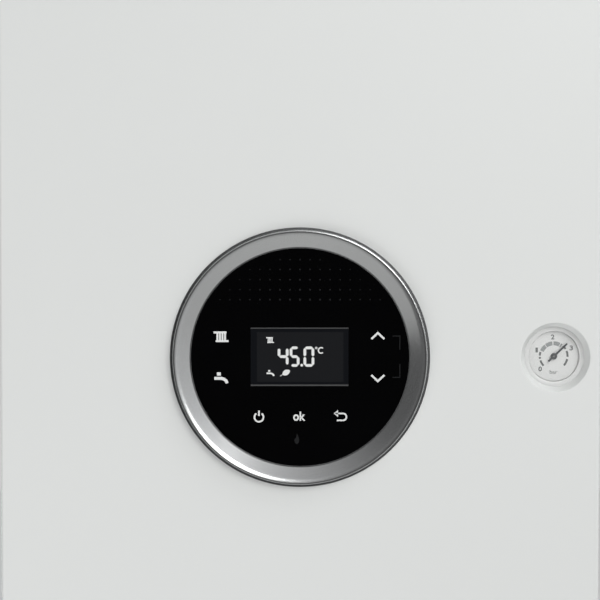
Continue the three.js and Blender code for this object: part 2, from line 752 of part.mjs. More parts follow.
function heatExchanger() {
  const shell = turned([
    [0, cellBack], [cellRadius - 8, cellBack], [cellRadius, cellBack + 8], [cellRadius, cellFront - 8],
    [cellRadius + 6, cellFront - 6], [cellRadius + 6, cellFront], [0, cellFront],
  ]);
  const spigot = barUp(spigotX, flueForward, 60, spigotTop, fluePort + 3.5, 22);
  const drain = barUp(0, flueForward, 12 - cellRadius, drainEnd, 11, 10);
  const flowPort = barUp(flowPortX, flueForward, portRoot, portEnd, 12, 10);
  const returnPort = barUp(returnPortX, returnPortForward, portRoot - 10, portEnd, 12, 10);
  const shelf = shelfTop - cellHeight + gap;
  const feet = bothSides.map((side) => block(
    [side * (shelfHalf - 23), -110, shelf], [side * (shelfHalf - 3), -200, shelf + 40]));
  const cavity = turned(drumProfile(cellRadius - cellWall, cellBack + 5, cellFront + 1));
  const bores = [
    barUp(spigotX, flueForward, 40, spigotTop + 1, fluePort, 22),
    barUp(0, flueForward, 22 - cellRadius, drainEnd - 1, 7, 10),
    barUp(flowPortX, flueForward, portRoot + 10, portEnd - 1, 7, 10),
    barUp(returnPortX, returnPortForward, portRoot, portEnd - 1, 7, 10),
  ];
  return cut(join(shell, spigot, drain, flowPort, returnPort, ...feet), cavity, ...bores);
}
piece(cell, "heat_exchanger", castAluminium(), heatExchanger());

class Helix extends THREE.Curve {
  constructor(radius, pitch, turns, start) {
    super();
    Object.assign(this, { radius, pitch, turns, start });
  }

  getPoint(t, target = new THREE.Vector3()) {
    const angle = 2 * Math.PI * this.turns * t;
    const forward = this.start + this.pitch * this.turns * t;
    return target.set(this.radius * Math.cos(angle), -forward, this.radius * Math.sin(angle));
  }
}
const coilRadius = toFlats(cellRadius - cellWall) - gap - coilTube;
const coilStart = cellBack + 5 + gap + coilTube;
piece(cell, "exchanger_coil", stainless(), swept(
  new Helix(coilRadius, coilPitch, coilTurns, coilStart), coilTube, 16 * coilTurns, 6));

const electrodeX = -45;
const electrodeZ = -40;
const ceramicRadius = 4.5;
const insulationBack = 219;
const electrodeHole = barForward(electrodeX, electrodeZ, 200, 260, ceramicRadius + gap, 10);
piece(cell, "burner_insulation", finish(0xd9d4c8, 0.95, 0), cut(
  turned(tubeProfile(cellRadius - cellWall - gap, burnerRadius + gap, insulationBack, cellFront - gap)),
  electrodeHole,
));

const burnerBack = 130;
piece(cell, "burner", stainless(), turned([
  [0, burnerBack], [burnerRadius, burnerBack], [burnerRadius, cellFront], [burnerRadius - 1.5, cellFront],
  [burnerRadius - 1.5, burnerBack + 1.5], [0, burnerBack + 1.5],
], 22));

const doorBack = cellFront + gap;
const doorFront = doorBack + doorThickness;
const ductLow = 10;
const ductHigh = 46;
const ductEnd = fanX - voluteRadius - 2.6; // where the duct meets the fan, from the casing's middle

function burnerDoor() {
  const front = doorFront + ductDepth;
  const end = ductEnd - cellX;
  const plate = turned(drumProfile(cellRadius + 6, doorBack, doorFront));
  const dome = turned([
    [0, doorFront - 1], [domeRadius, doorFront - 1], [domeRadius, front - 6],
    [domeRadius - 6, front], [0, front],
  ], 22);
  const arm = block([0, -doorFront - 2, ductLow], [end, -front + 2, ductHigh]);
  const collar = block([end - 3, -doorFront - 1, ductLow - 5], [end, -front, ductHigh + 5]);
  const nutCircle = cellRadius - 2;
  const nuts = Array.from({ length: 6 }, (_, i) => {
    const angle = (Math.PI * (2 * i + 1)) / 6;
    const [x, z] = [nutCircle * Math.cos(angle), nutCircle * Math.sin(angle)];
    return barForward(x, z, doorFront - 1, doorFront + 5, 5, 6);
  });
  const domeHollow = turned([
    [0, doorBack - 1], [burnerRadius - 2, doorBack - 1], [burnerRadius - 2, doorFront + 3],
    [domeRadius - 4, doorFront + 3], [domeRadius - 4, front - 8], [0, front - 4],
  ], 22);
  const armHollow = block([0, -doorFront - 5, ductLow + 3], [end + 1, -front + 5, ductHigh - 3]);
  return cut(join(plate, dome, arm, collar, ...nuts), domeHollow, armHollow, electrodeHole);
}
piece(cell, "burner_door", castAluminium(), burnerDoor());

function ignitionElectrode() {
  const ceramic = barForward(
    electrodeX, electrodeZ, insulationBack - 4, doorFront + 22, ceramicRadius, 10);
  const flange = block(
    [electrodeX - 11, -doorFront - gap, electrodeZ - 7], [electrodeX + 7, -doorFront - 2, electrodeZ + 7]);
  const tip = pipe([
    [electrodeX, -insulationBack + 2, electrodeZ], [electrodeX, -190, electrodeZ], [-31, -175, -28],
  ], 1.2, 8, 8, 5);
  return join(ceramic, flange, tip);
}
piece(cell, "ignition_electrode", finish(0xe9e5da, 0.4, 0), ignitionElectrode());

// ---- Fan: volute, wheel on its shaft, motor, and the mixer behind it ----

const fan = group(boiler, fanX, 0, fanHeight);
const ductOffset = cellHeight - fanHeight;
const inletRadius = 24;

function fanHousing() {
  const outletEnd = ductEnd + gap - fanX;
  const [low, high] = [ductLow + ductOffset, ductHigh + ductOffset];
  const [back, front] = [voluteBack + 3, voluteFront - 4];
  const drum = turned(drumProfile(voluteRadius, voluteBack, voluteFront));
  const outlet = block([outletEnd, -back, low], [0, -front, high]);
  const collar = block([outletEnd, -back + 1, low - 5], [outletEnd + 3, -front - 2, high + 5]);
  const drumHollow = turned(
    drumProfile(voluteRadius - voluteWall, voluteBack + voluteWall, voluteFront - voluteWall));
  const outletHollow = block(
    [outletEnd - 1, -back - voluteWall, low + voluteWall], [0, -front + voluteWall, high - voluteWall]);
  const inlet = barForward(0, 0, voluteBack - 1, voluteBack + 5, inletRadius - 2);
  const shaftHole = barForward(0, 0, voluteFront - 5, voluteFront + 1, 10);
  return cut(join(drum, outlet, collar), drumHollow, outletHollow, inlet, shaftHole);
}
piece(fan, "fan_housing", castAluminium(), fanHousing());

const wheelBack = voluteBack + voluteWall + 4;
const wheelFront = voluteFront - voluteWall - 3;
const shaftEnd = voluteFront + 12;

function fanWheel() {
  const hub = turned([
    [0, wheelFront - 2], [wheelRadius, wheelFront - 2], [wheelRadius, wheelFront],
    [8, wheelFront], [motorShaft, wheelFront + 2], [motorShaft, shaftEnd], [0, shaftEnd],
  ]);
  const shroud = turned(tubeProfile(wheelRadius, 27, wheelBack, wheelBack + 1.5));
  const blades = Array.from({ length: bladeCount }, (_, i) => {
    const blade = block([-9, -wheelBack - 1, -0.8], [wheelRadius - 39, -wheelFront + 1, 0.8]);
    const place = blade.rotateY(0.6).translate(38, 0, 0);
    return place.rotateY((2 * Math.PI * i) / bladeCount);
  });
  return join(hub, shroud, ...blades);
}
piece(fan, "fan_wheel", greyPlastic(), fanWheel());

const fanMotorBack = voluteFront + gap;
const fanMotorFront = 314;
piece(fan, "fan_motor", blackPlastic(), turned([
  [motorShaft + 0.4, fanMotorBack], [40, fanMotorBack], [40, fanMotorBack + 3], [36, fanMotorBack + 4],
  [36, fanMotorFront - 4], [32, fanMotorFront], [0, fanMotorFront], [0, shaftEnd + gap],
  [motorShaft + 0.4, shaftEnd + gap], [motorShaft + 0.4, fanMotorBack],
], 24));

const mixerBack = 185;
const mixerFront = voluteBack - gap;
const portForward = 215;
const valveTop = fanHeight - voluteRadius - 2;

function gasAirMixer() {
  const venturi = turned([
    [26, mixerBack], [20, portForward], [inletRadius, mixerFront - 6], [30, mixerFront - 4],
    [30, mixerFront], [inletRadius - 3, mixerFront], [inletRadius - 3, mixerFront - 8],
    [15, portForward], [22, mixerBack], [26, mixerBack],
  ], 22);
  const port = barUp(0, portForward, -17, valveTop + gap - fanHeight, 9, 10);
  const bore = barUp(0, portForward, 0, -40, 5, 12);
  return cut(join(venturi, port), bore);
}
piece(fan, "gas_air_mixer", greyPlastic(), gasAirMixer());

// ---- Gas: valve under the mixer and the pipe up from the gas tail ----

const valveBottom = valveTop - 74;
const coilHeight = (valveTop + valveBottom) / 2;

function gasValve() {
  const body = block([-30, -250, valveBottom], [30, -180, valveTop - 6]);
  const neck = barUp(0, portForward, valveTop - 8, valveTop, 14, 10);
  const coils = [-15, 15].map((x) => barForward(x, coilHeight, 249, 290, 13, 12));
  const coilCaps = block([-28, -249, coilHeight - 15], [28, -262, coilHeight + 15]);
  const regulator = barForward(0, coilHeight, 181, 165, 22);
  const bore = barUp(0, portForward, valveTop - 30, valveTop + 1, 5, 12);
  return cut(join(body, neck, ...coils, coilCaps, regulator), bore);
}
piece(group(boiler, fanX, 0, 0), "gas_valve", castAluminium(), gasValve());

// A pipe tail below the casing: a hexagonal union nut on the pipe, left open at its end.
function tailNut(x) {
  return barUp(x, tailForward, -tailDrop, -tailDrop + 20, tailRadius + 6, 6);
}

function tailHollow(x, depth) {
  return barUp(x, tailForward, -tailDrop - 1, depth, tailBore, 12);
}

function tailed(x, end, route) {
  const tail = barUp(x, tailForward, -tailDrop, end, tailRadius);
  return cut(join(tail, tailNut(x), route), tailHollow(x, end - 5));
}

const gasBend = 340;
piece(boiler, "gas_pipe", copper(), tailed(gasX, 60, pipe([
  [gasX, -tailForward, 50], [gasX, -tailForward, gasBend], [fanX, -portForward, gasBend],
  [fanX, -portForward, valveBottom - gap],
], pipeRadius, 30)));

// ---- Flue: inner pipe from the heat cell and the twin-wall adapter on the top plate ----

const flue = group(boiler, 0, flueForward, 0);
const adapterFloor = casingHeight + gap;
const adapterTop = casingHeight + flueRise;
const fluePipeLow = cellHeight + spigotTop - 30;
const fluePipeTop = casingHeight - 8;
piece(flue, "flue_pipe", stainless(), upright(
  tubeProfile(fluePipeRadius, fluePipeRadius - 1.5, fluePipeLow, fluePipeTop)));

function flueAdapter() {
  const tube = (outer, inner, low, high, sides) => upright(tubeProfile(outer, inner, low, high), sides);
  const inside = tube(fluePort + flueWall, fluePort, fluePipeTop - 15, adapterTop);
  const outside = tube(
    flueOuterRadius, flueOuterRadius - flueWall, adapterFloor, adapterTop, turnedSides);
  const foot = tube(
    flueOuterRadius + 16, flueOuterRadius - 1, adapterFloor, adapterFloor + 3, turnedSides);
  const web = tube(flueOuterRadius - 1, fluePort + 1, adapterFloor + 4, adapterFloor + 6, turnedSides);
  const airHoleCircle = (fluePort + flueWall + flueOuterRadius - flueWall) / 2 - 0.1;
  const airHoles = Array.from({ length: 6 }, (_, i) => {
    const angle = (Math.PI * i) / 3;
    const x = airHoleCircle * Math.cos(angle);
    const forward = -airHoleCircle * Math.sin(angle);
    return barUp(x, forward, adapterFloor + 2, adapterFloor + 8, 6, 8);
  });
  return cut(join(inside, outside, foot, web), ...airHoles);
}
piece(flue, "flue_adapter", whitePaint(), flueAdapter());

// ---- Condensate: hose from the heat cell to the trap, whose outlet leaves below ----

const trapTop = 330;
const trapMiddle = -155;
piece(boiler, "condensate_hose", greyPlastic(), pipe([
  [cellX, -flueForward, cellHeight + drainEnd - gap], [cellX, -flueForward, 385],
  [cellX, trapMiddle, 355], [cellX, trapMiddle, trapTop + gap],
], 9, 8, 12, 6));

function condensateTrap() {
  const bottle = upright([
    [0, 222], [20, 222], [28, 232], [28, trapTop - 14], [22, trapTop - 10],
    [12, trapTop - 8], [12, trapTop], [0, trapTop],
  ]).translate(cellX, trapMiddle, 0);
  const collar = upright([[0, 270], [31, 270], [31, 280], [0, 280]]).translate(cellX, trapMiddle, 0);
  const outlet = pipe([
    [cellX, trapMiddle, 226], [cellX, trapMiddle, 205],
    [trapX, -trapForward, 185], [trapX, -trapForward, -30],
  ], 8, 10, 8, 16);
  const bore = barUp(trapX, trapForward, -31, -5, 6, 12);
  return cut(join(bottle, collar, outlet), bore);
}
piece(boiler, "condensate_trap", greyPlastic(), condensateTrap());

// ---- Expansion vessel behind the heat cell, with the pipe down to the pump ----

const vesselBack = frameFront + gap;
const portLow = vesselHeight - Math.sqrt(vesselRadius ** 2 - vesselPortX ** 2) - 10;

function expansionVessel() {
  const half = vesselThickness / 2;
  const middle = vesselBack + half;
  const dish = (radius, thick) => turned([
    [0, middle - thick], [radius - 25, middle - thick], [radius - 4, middle - thick + 14],
    [radius, middle], [radius - 4, middle + thick - 14], [radius - 25, middle + thick], [0, middle + thick],
  ]);
  const seam = turned(tubeProfile(vesselRadius + 3, vesselRadius - 1, middle - 1.5, middle + 1.5));
  const portEdge = portLow - vesselHeight;
  const port = barUp(vesselPortX, middle, portEdge + 25, portEdge, 8, 10);
  const bore = barUp(vesselPortX, middle, portEdge + 60, portEdge - 1, 4, 12);
  return cut(join(dish(vesselRadius, half), seam, port), dish(vesselRadius - 1.5, half - 1.5), bore);
}
piece(group(boiler, 0, 0, vesselHeight), "expansion_vessel", finish(0xa8262a, 0.4, 0), expansionVessel());

// ---- Pump: body, rotor and motor, on the return side ----

const pumpMiddle = tailForward;
const pumpBack = pumpMiddle - pumpDepth / 2;
const pumpFront = pumpMiddle + pumpDepth / 2;
const dischargeX = -18;
const dischargeTop = pumpHeight + pumpRadius + 3;
const vesselPortZ = 22;
const ventX = 25;
const ventFoot = pumpHeight + pumpRadius - 1;
const pump = group(boiler, returnX, 0, pumpHeight);

function pumpBody() {
  const shell = turned([
    [0, pumpBack], [pumpRadius - 5, pumpBack], [pumpRadius, pumpBack + 5],
    [pumpRadius, pumpFront], [0, pumpFront],
  ]);
  const up = (x, from, to, radius) =>
    barUp(x, pumpMiddle, from - pumpHeight, to - pumpHeight, radius, 12);
  const vesselPort = barForward(0, vesselPortZ, pumpBack + 2, pumpBack - 10, 8, 10);
  const hollow = turned(drumProfile(impellerRadius + 3, pumpBack + 5, pumpFront + 1));
  const ports = join(
    up(0, suctionEnd + gap, 125, 15), up(dischargeX, 185, dischargeTop, 12), up(ventX, 178, ventFoot, 9));
  const bores = [up(0, suctionEnd - 1, 140, tailBore), up(dischargeX, 175, dischargeTop + 1, 6)];
  return cut(join(shell, ports, vesselPort), hollow, ...bores);
}
piece(pump, "pump_body", castAluminium(), pumpBody());

const pumpMotorBack = pumpFront + gap;
const pumpMotorFront = pumpMotorBack + pumpMotorDepth;
const canRadius = 25;
piece(pump, "pump_motor", blackPlastic(), turned([
  [5, pumpMotorBack], [pumpRadius, pumpMotorBack], [pumpRadius, pumpMotorBack + 5],
  [pumpMotorRadius, pumpMotorBack + 7], [pumpMotorRadius, pumpMotorFront - 6],
  [pumpMotorRadius - 6, pumpMotorFront], [0, pumpMotorFront],
  [0, pumpMotorFront - 12], [canRadius, pumpMotorFront - 12], [canRadius, pumpMotorBack + 5],
  [5, pumpMotorBack + 5], [5, pumpMotorBack],
], 24));

function pumpRotor() {
  const rotorBack = pumpMotorBack + 6;
  const rotorFront = pumpMotorFront - 13;
  const spindle = turned([
    [0, pumpFront - 16], [impellerRadius, pumpFront - 16], [impellerRadius, pumpFront - 13],
    [9, pumpFront - 13], [9, pumpFront - 3], [4, pumpFront - 3], [4, rotorBack], [canRadius - 0.5, rotorBack],
    [canRadius - 0.5, rotorFront], [0, rotorFront],
  ]);
  const vanes = Array.from({ length: 6 }, (_, i) => {
    const vane = block([6, -pumpFront + 14, -1], [impellerRadius - 2, -pumpFront + 5, 1]);
    return vane.rotateY((Math.PI * (i + 0.3)) / 3);
  });
  return join(spindle, ...vanes);
}
piece(pump, "pump_rotor", stainless(), pumpRotor());

piece(group(boiler, returnX + ventX, tailForward, 0), "air_vent", brass(), upright([
  [0, ventFoot + gap], [8, ventFoot + gap], [8, ventFoot + 6], [13, ventFoot + 9], [13, ventFoot + 38],
  [9, ventFoot + 44], [4, ventFoot + 45], [4, ventFoot + 52], [0, ventFoot + 52],
], 12));

// ---- Return manifold: tail, filling tap, and arms to the safety valve and the plate exchanger ----

const armForward = 93;
const lowPort = plateLow + 10;
const highPort = plateHigh - 15;
const platePortX = tailSpacing;
const platePortEnd = plateFront + 10;
const armEnd = platePortEnd + gap;
const reliefX = returnX - bodyRadius - 22;
const reliefHeight = 68;
const reliefRadius = 13;

// The arm from a manifold to the plate exchanger's lower port.
function plateArm(bodyX, portX) {
  const along = bar([bodyX, -armForward - 8, lowPort], [portX, -armForward, lowPort], 7, 10);
  const into = barForward(portX, lowPort, armForward + 6, armEnd, 7, 10);
  return join(along, into);
}

function returnManifold() {
  const tail = barUp(returnX, tailForward, -tailDrop, 50, tailRadius);
  const body = barUp(returnX, tailForward, 42, suctionEnd, bodyRadius);
  const reliefArm = barAcross(
    tailForward, reliefHeight, returnX, reliefX + reliefRadius + gap, 9, 10);
  const fillArm = bar([returnX, -tailForward, 56], [fillX, -fillForward, 56], 6, 12);
  const fillTap = barUp(fillX, fillForward, 46, 66, 9, 10);
  const fillBore = barUp(fillX, fillForward, 45, 60, 4 + gap, 10);
  const gaugePort = bar([returnX, -tailForward, manifoldPort[2]], manifoldPort, 4, 12);
  const bore = tailHollow(returnX, suctionEnd + 1);
  const whole = join(
    tail, tailNut(returnX), body, reliefArm, fillArm, fillTap, gaugePort, plateArm(returnX, platePortX));
  return cut(whole, fillBore, bore);
}
piece(boiler, "return_manifold", brass(), returnManifold());

function ribbedKnob(radius, back, front, ribs) {
  const body = turned([[0, back], [radius, back], [radius, front - 2], [radius - 2, front], [0, front]]);
  const flutes = Array.from({ length: ribs }, (_, i) => {
    const angle = (2 * Math.PI * i) / ribs;
    const [x, z] = [(radius + 1.2) * Math.cos(angle), (radius + 1.2) * Math.sin(angle)];
    return barForward(x, z, back - 1, front + 1, 3, 8);
  });
  return cut(body, ...flutes);
}

const reliefFront = 150;
const relief = group(boiler, reliefX, 0, reliefHeight);
piece(relief, "safety_valve", brass(), cut(
  join(
    turned([
      [0, 102], [reliefRadius, 102], [reliefRadius, 130], [10, 134], [10, reliefFront], [0, reliefFront],
    ], 12),
    barUp(0, tailForward, 0, -28, 7, 10),
  ),
  barUp(0, tailForward, 0, -29, 4, 12),
  barForward(0, 0, reliefFront - 14, reliefFront + 1, stemRadius + gap, 10),
));
piece(relief, "safety_knob", finish(0xb3262b, 0.45, 0), join(
  ribbedKnob(14, reliefFront + gap, reliefFront + 20, 8),
  barForward(0, 0, reliefFront + 2, reliefFront - 12, stemRadius, 12),
));

// The filling tap's knob hangs under the bottom plate and turns about its stem.
const fillStemTop = 58;
piece(group(boiler, fillX, fillForward, 0), "filling_knob", finish(0x2b5ea8, 0.45, 0), join(
  ribbedKnob(13, 0, 22, 6).rotateX(-Math.PI / 2).translate(0, 0, 6),
  barUp(0, 0, 10, fillStemTop, 4, 10),
));

// ---- Flow manifold with the diverter: body, stem and motor ----

const cavityLow = 108;
const cavityHigh = 165;
const manifoldTop = 186;
const flowElbowX = flowX - 42;
const flowElbowTop = 160;

function flowManifold() {
  const up = (from, to, radius, sides = turnedSides) =>
    barUp(flowX, tailForward, from, to, radius, sides);
  const arm = barAcross(tailForward, 140, flowX, flowElbowX, 9, 10);
  const elbow = barUp(flowElbowX, tailForward, 130, flowElbowTop, 11, 10);
  const whole = join(
    up(-tailDrop, 50, tailRadius), tailNut(flowX), up(42, manifoldTop, bodyRadius), arm, elbow,
    plateArm(flowX, -platePortX),
  );
  return cut(
    whole,
    up(-tailDrop - 1, cavityLow + 1, tailBore, 12),
    up(cavityLow, cavityHigh, bodyRadius - 4),
    up(cavityHigh - 1, manifoldTop + 1, stemRadius + gap, 10),
  );
}
piece(boiler, "flow_manifold", brass(), flowManifold());

const stemTravel = 8;
const stemTop = manifoldTop + 12;
const diverter = group(boiler, flowX, tailForward, 0);
piece(diverter, "diverter_stem", stainless(), upright([
  [0, cavityLow + 12], [9, cavityLow + 12], [11, cavityLow + 16], [11, cavityLow + 20],
  [stemRadius, cavityLow + 23], [stemRadius, stemTop], [0, stemTop],
], 12));

function diverterMotor() {
  const low = manifoldTop + gap;
  const shape = new THREE.Shape();
  shape.moveTo(-24, -22);
  shape.lineTo(24, -22);
  shape.lineTo(24, 10);
  shape.lineTo(14, 26);
  shape.lineTo(-14, 26);
  shape.lineTo(-24, 10);
  const body = new THREE.ExtrudeGeometry(shape, { depth: 50, bevelEnabled: false }).translate(0, 0, low);
  const bore = barUp(0, 0, low - 1, stemTop + stemTravel + 2, stemRadius + gap, 10);
  return cut(body, bore);
}
piece(diverter, "diverter_motor", blackPlastic(), diverterMotor());

// ---- Plate exchanger for the tap water, with its hot and cold pipes ----

function plateExchanger() {
  const low = plateLow;
  const half = plateWidth / 2;
  const plates = 6;
  const pitch = (plateFront - plateBack) / plates;
  const core = block([-half + 2, -plateBack, low + 2], [half - 2, -plateFront, plateHigh - 2]);
  const rims = Array.from({ length: plates }, (_, i) => {
    const back = plateBack + pitch * (i + 0.25);
    return block([-half, -back, low], [half, -back - pitch * 0.5, plateHigh]);
  });
  const ports = bothSides.flatMap((side) => [lowPort, highPort].map((height) =>
    barForward(side * platePortX, height, plateFront - 2, platePortEnd, 9, 10)));
  const bores = bothSides.flatMap((side) => [lowPort, highPort].map((height) =>
    barForward(side * platePortX, height, plateFront - 10, platePortEnd + 1, 6, 12)));
  return cut(join(core, ...rims, ...ports), ...bores);
}
piece(boiler, "plate_exchanger", stainless(), plateExchanger());

function waterPipe(tailX, portX) {
  return tailed(tailX, 45, pipe([
    [tailX, -tailForward, 35], [tailX, -tailForward, highPort],
    [portX, -platePortEnd - gap, highPort],
  ], pipeRadius, 14));
}
piece(boiler, "hot_water_pipe", copper(), waterPipe(hotX, -platePortX));
piece(boiler, "cold_water_pipe", copper(), waterPipe(coldX, platePortX));

const sensorLow = 50;
piece(group(boiler, coldX, tailForward, 0), "flow_sensor", blackPlastic(), cut(
  join(
    upright([[0, sensorLow], [12, sensorLow], [12, sensorLow + 34], [0, sensorLow + 34]], 12),
    block([-7, -10, sensorLow + 8], [7, -20, sensorLow + 24]),
  ),
  barUp(0, 0, sensorLow - 1, sensorLow + 35, pipeRadius + gap, 12),
));

// ---- Heating pipes between the heat cell and the manifolds ----

piece(boiler, "flow_pipe", copper(), pipe([
  [cellX + flowPortX, -flueForward, cellHeight + portEnd - gap], [cellX + flowPortX, -flueForward, 400],
  [flowElbowX, -tailForward, 360], [flowElbowX, -tailForward, flowElbowTop + gap],
], pipeRadius, 12));

piece(boiler, "return_pipe", copper(), pipe([
  [returnX + dischargeX, -tailForward, dischargeTop + gap], [returnX + dischargeX, -tailForward, 375],
  [cellX + returnPortX, -returnPortForward, 375],
  [cellX + returnPortX, -returnPortForward, cellHeight + portEnd - gap],
], pipeRadius, 25));

const vesselPipeY = -vesselBack - vesselThickness / 2;
piece(boiler, "vessel_pipe", copper(), pipe([
  [vesselPortX, vesselPipeY, portLow - gap], [vesselPortX, vesselPipeY, pumpHeight + vesselPortZ],
  [returnX, vesselPipeY, pumpHeight + vesselPortZ],
  [returnX, -pumpBack + 10 + gap, pumpHeight + vesselPortZ],
], 5, 12));

export default object;
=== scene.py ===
import math

import bmesh
import bpy
from mathutils import Matrix, Quaternion, Vector


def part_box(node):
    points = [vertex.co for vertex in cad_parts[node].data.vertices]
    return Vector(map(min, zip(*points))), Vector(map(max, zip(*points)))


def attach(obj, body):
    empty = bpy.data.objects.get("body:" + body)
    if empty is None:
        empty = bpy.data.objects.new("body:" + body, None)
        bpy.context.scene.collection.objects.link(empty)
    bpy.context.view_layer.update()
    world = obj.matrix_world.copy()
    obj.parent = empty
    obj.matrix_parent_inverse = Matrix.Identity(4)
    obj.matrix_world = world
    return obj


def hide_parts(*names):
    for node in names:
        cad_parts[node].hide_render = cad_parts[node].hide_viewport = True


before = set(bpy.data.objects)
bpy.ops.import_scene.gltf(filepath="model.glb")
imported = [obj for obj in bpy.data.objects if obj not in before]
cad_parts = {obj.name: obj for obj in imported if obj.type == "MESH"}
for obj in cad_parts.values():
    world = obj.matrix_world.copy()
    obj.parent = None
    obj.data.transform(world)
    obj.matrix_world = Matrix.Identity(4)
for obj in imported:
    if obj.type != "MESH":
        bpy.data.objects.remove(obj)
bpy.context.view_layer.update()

scene = bpy.context.scene


# ---- The viewpoint and the studio ----
# The boiler hangs on a wall, so the floor lies well under it. A camera stands a metre and a half in
# front of the cover, a little above the display. One large soft lamp lights it from the upper right,
# weaker ones fill from the lower left and graze from the right, where the room is paler too.

mm = 0.001
cover_low, cover_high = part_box("front_cover")
glass_low, glass_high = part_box("display_glass")
display = Vector(((glass_low.x + glass_high.x) / 2, cover_low.y, (glass_low.z + glass_high.z) / 2))
eye_distance, eye_rise, aim_rise, half_view = 1500, 110, 38.3, 199.6
eye = display + Vector((0, -eye_distance * mm, eye_rise * mm))
aim = display + Vector((0, 0, aim_rise * mm))

camera = bpy.data.objects.new("camera", bpy.data.cameras.new("camera"))
scene.collection.objects.link(camera)
camera.location = eye
camera.rotation_euler = (aim - eye).to_track_quat("-Z", "Y").to_euler()
camera.data.angle = 2 * math.atan(half_view * mm / (aim - eye).length)
camera.data.clip_start = 50 * mm
scene.camera = camera
scene.view_settings.view_transform = "Standard"


def lamp(name, place, size, watts, colour, mirrored=True):
    light = bpy.data.lights.new(name, "AREA")
    light.shape = "SQUARE"
    light.size = size
    light.energy = watts
    light.color = colour
    holder = bpy.data.objects.new(name, light)
    scene.collection.objects.link(holder)
    holder.location = place
    holder.rotation_euler = (display - Vector(place)).to_track_quat("-Z", "Y").to_euler()
    holder.visible_glossy = mirrored


lamp("key_lamp", (0.87, -2.05, 0.52), 1.1, 23, (1.0, 1.0, 0.99))
lamp("fill_lamp", (-0.9, -1.5, -1.5), 1.4, 13.8, (1.0, 1.0, 1.0), mirrored=False)
lamp("side_lamp", (1.4, -1.2, 1.8), 1.0, 14, (0.98, 1.0, 1.0), mirrored=False)
lamp("back_lamp", (-1.6, 1.8, 1.2), 1.6, 20, (1.0, 1.0, 1.0))


def studio_world():
    """A pale room: dim on the left, dark where the camera stands, pale behind the boiler. The camera
    itself sees an even pale backdrop."""
    pale_wall, backdrop = 0.86, 0.62
    world = bpy.data.worlds.new("studio")
    scene.world = world
    world.use_nodes = True
    nodes, links = world.node_tree.nodes, world.node_tree.links
    nodes.clear()
    place = nodes.new("ShaderNodeTexCoord")
    split = nodes.new("ShaderNodeSeparateXYZ")
    links.new(place.outputs["Generated"], split.inputs[0])

    def ranged(source, low, high, start, end):
        node = nodes.new("ShaderNodeMapRange")
        node.interpolation_type = "SMOOTHSTEP"
        node.inputs["From Min"].default_value = low
        node.inputs["From Max"].default_value = high
        node.inputs["To Min"].default_value = start
        node.inputs["To Max"].default_value = end
        links.new(source, node.inputs["Value"])
        return node.outputs["Result"]

    def product(a, b):
        node = nodes.new("ShaderNodeMath")
        node.operation = "MULTIPLY"
        links.new(a, node.inputs[0])
        links.new(b, node.inputs[1])
        return node.outputs[0]

    sideways = ranged(split.outputs["X"], -0.95, 0.95, 0.12, 0.57)
    upper_right = nodes.new("ShaderNodeVectorMath")
    upper_right.operation = "DOT_PRODUCT"
    upper_right.inputs[1].default_value = (0.35, 0, 0.94)
    links.new(place.outputs["Generated"], upper_right.inputs[0])
    room = nodes.new("ShaderNodeMath")
    links.new(sideways, room.inputs[0])
    links.new(ranged(upper_right.outputs["Value"], 0.2, 0.9, 0.0, 0.13), room.inputs[1])
    camera_side = ranged(split.outputs["Y"], -0.97, -0.8, 0.03, 1.0)
    behind = ranged(split.outputs["Y"], -0.15, 0.35, 0.0, 1.0)
    blend = nodes.new("ShaderNodeMix")
    links.new(behind, blend.inputs["Factor"])
    links.new(product(room.outputs[0], camera_side), blend.inputs[2])
    blend.inputs[3].default_value = pale_wall
    seen = nodes.new("ShaderNodeMix")
    links.new(nodes.new("ShaderNodeLightPath").outputs["Is Camera Ray"], seen.inputs["Factor"])
    links.new(blend.outputs[0], seen.inputs[2])
    seen.inputs[3].default_value = backdrop
    background = nodes.new("ShaderNodeBackground")
    links.new(seen.outputs[0], background.inputs["Color"])
    output = nodes.new("ShaderNodeOutputWorld")
    links.new(background.outputs[0], output.inputs["Surface"])


studio_world()


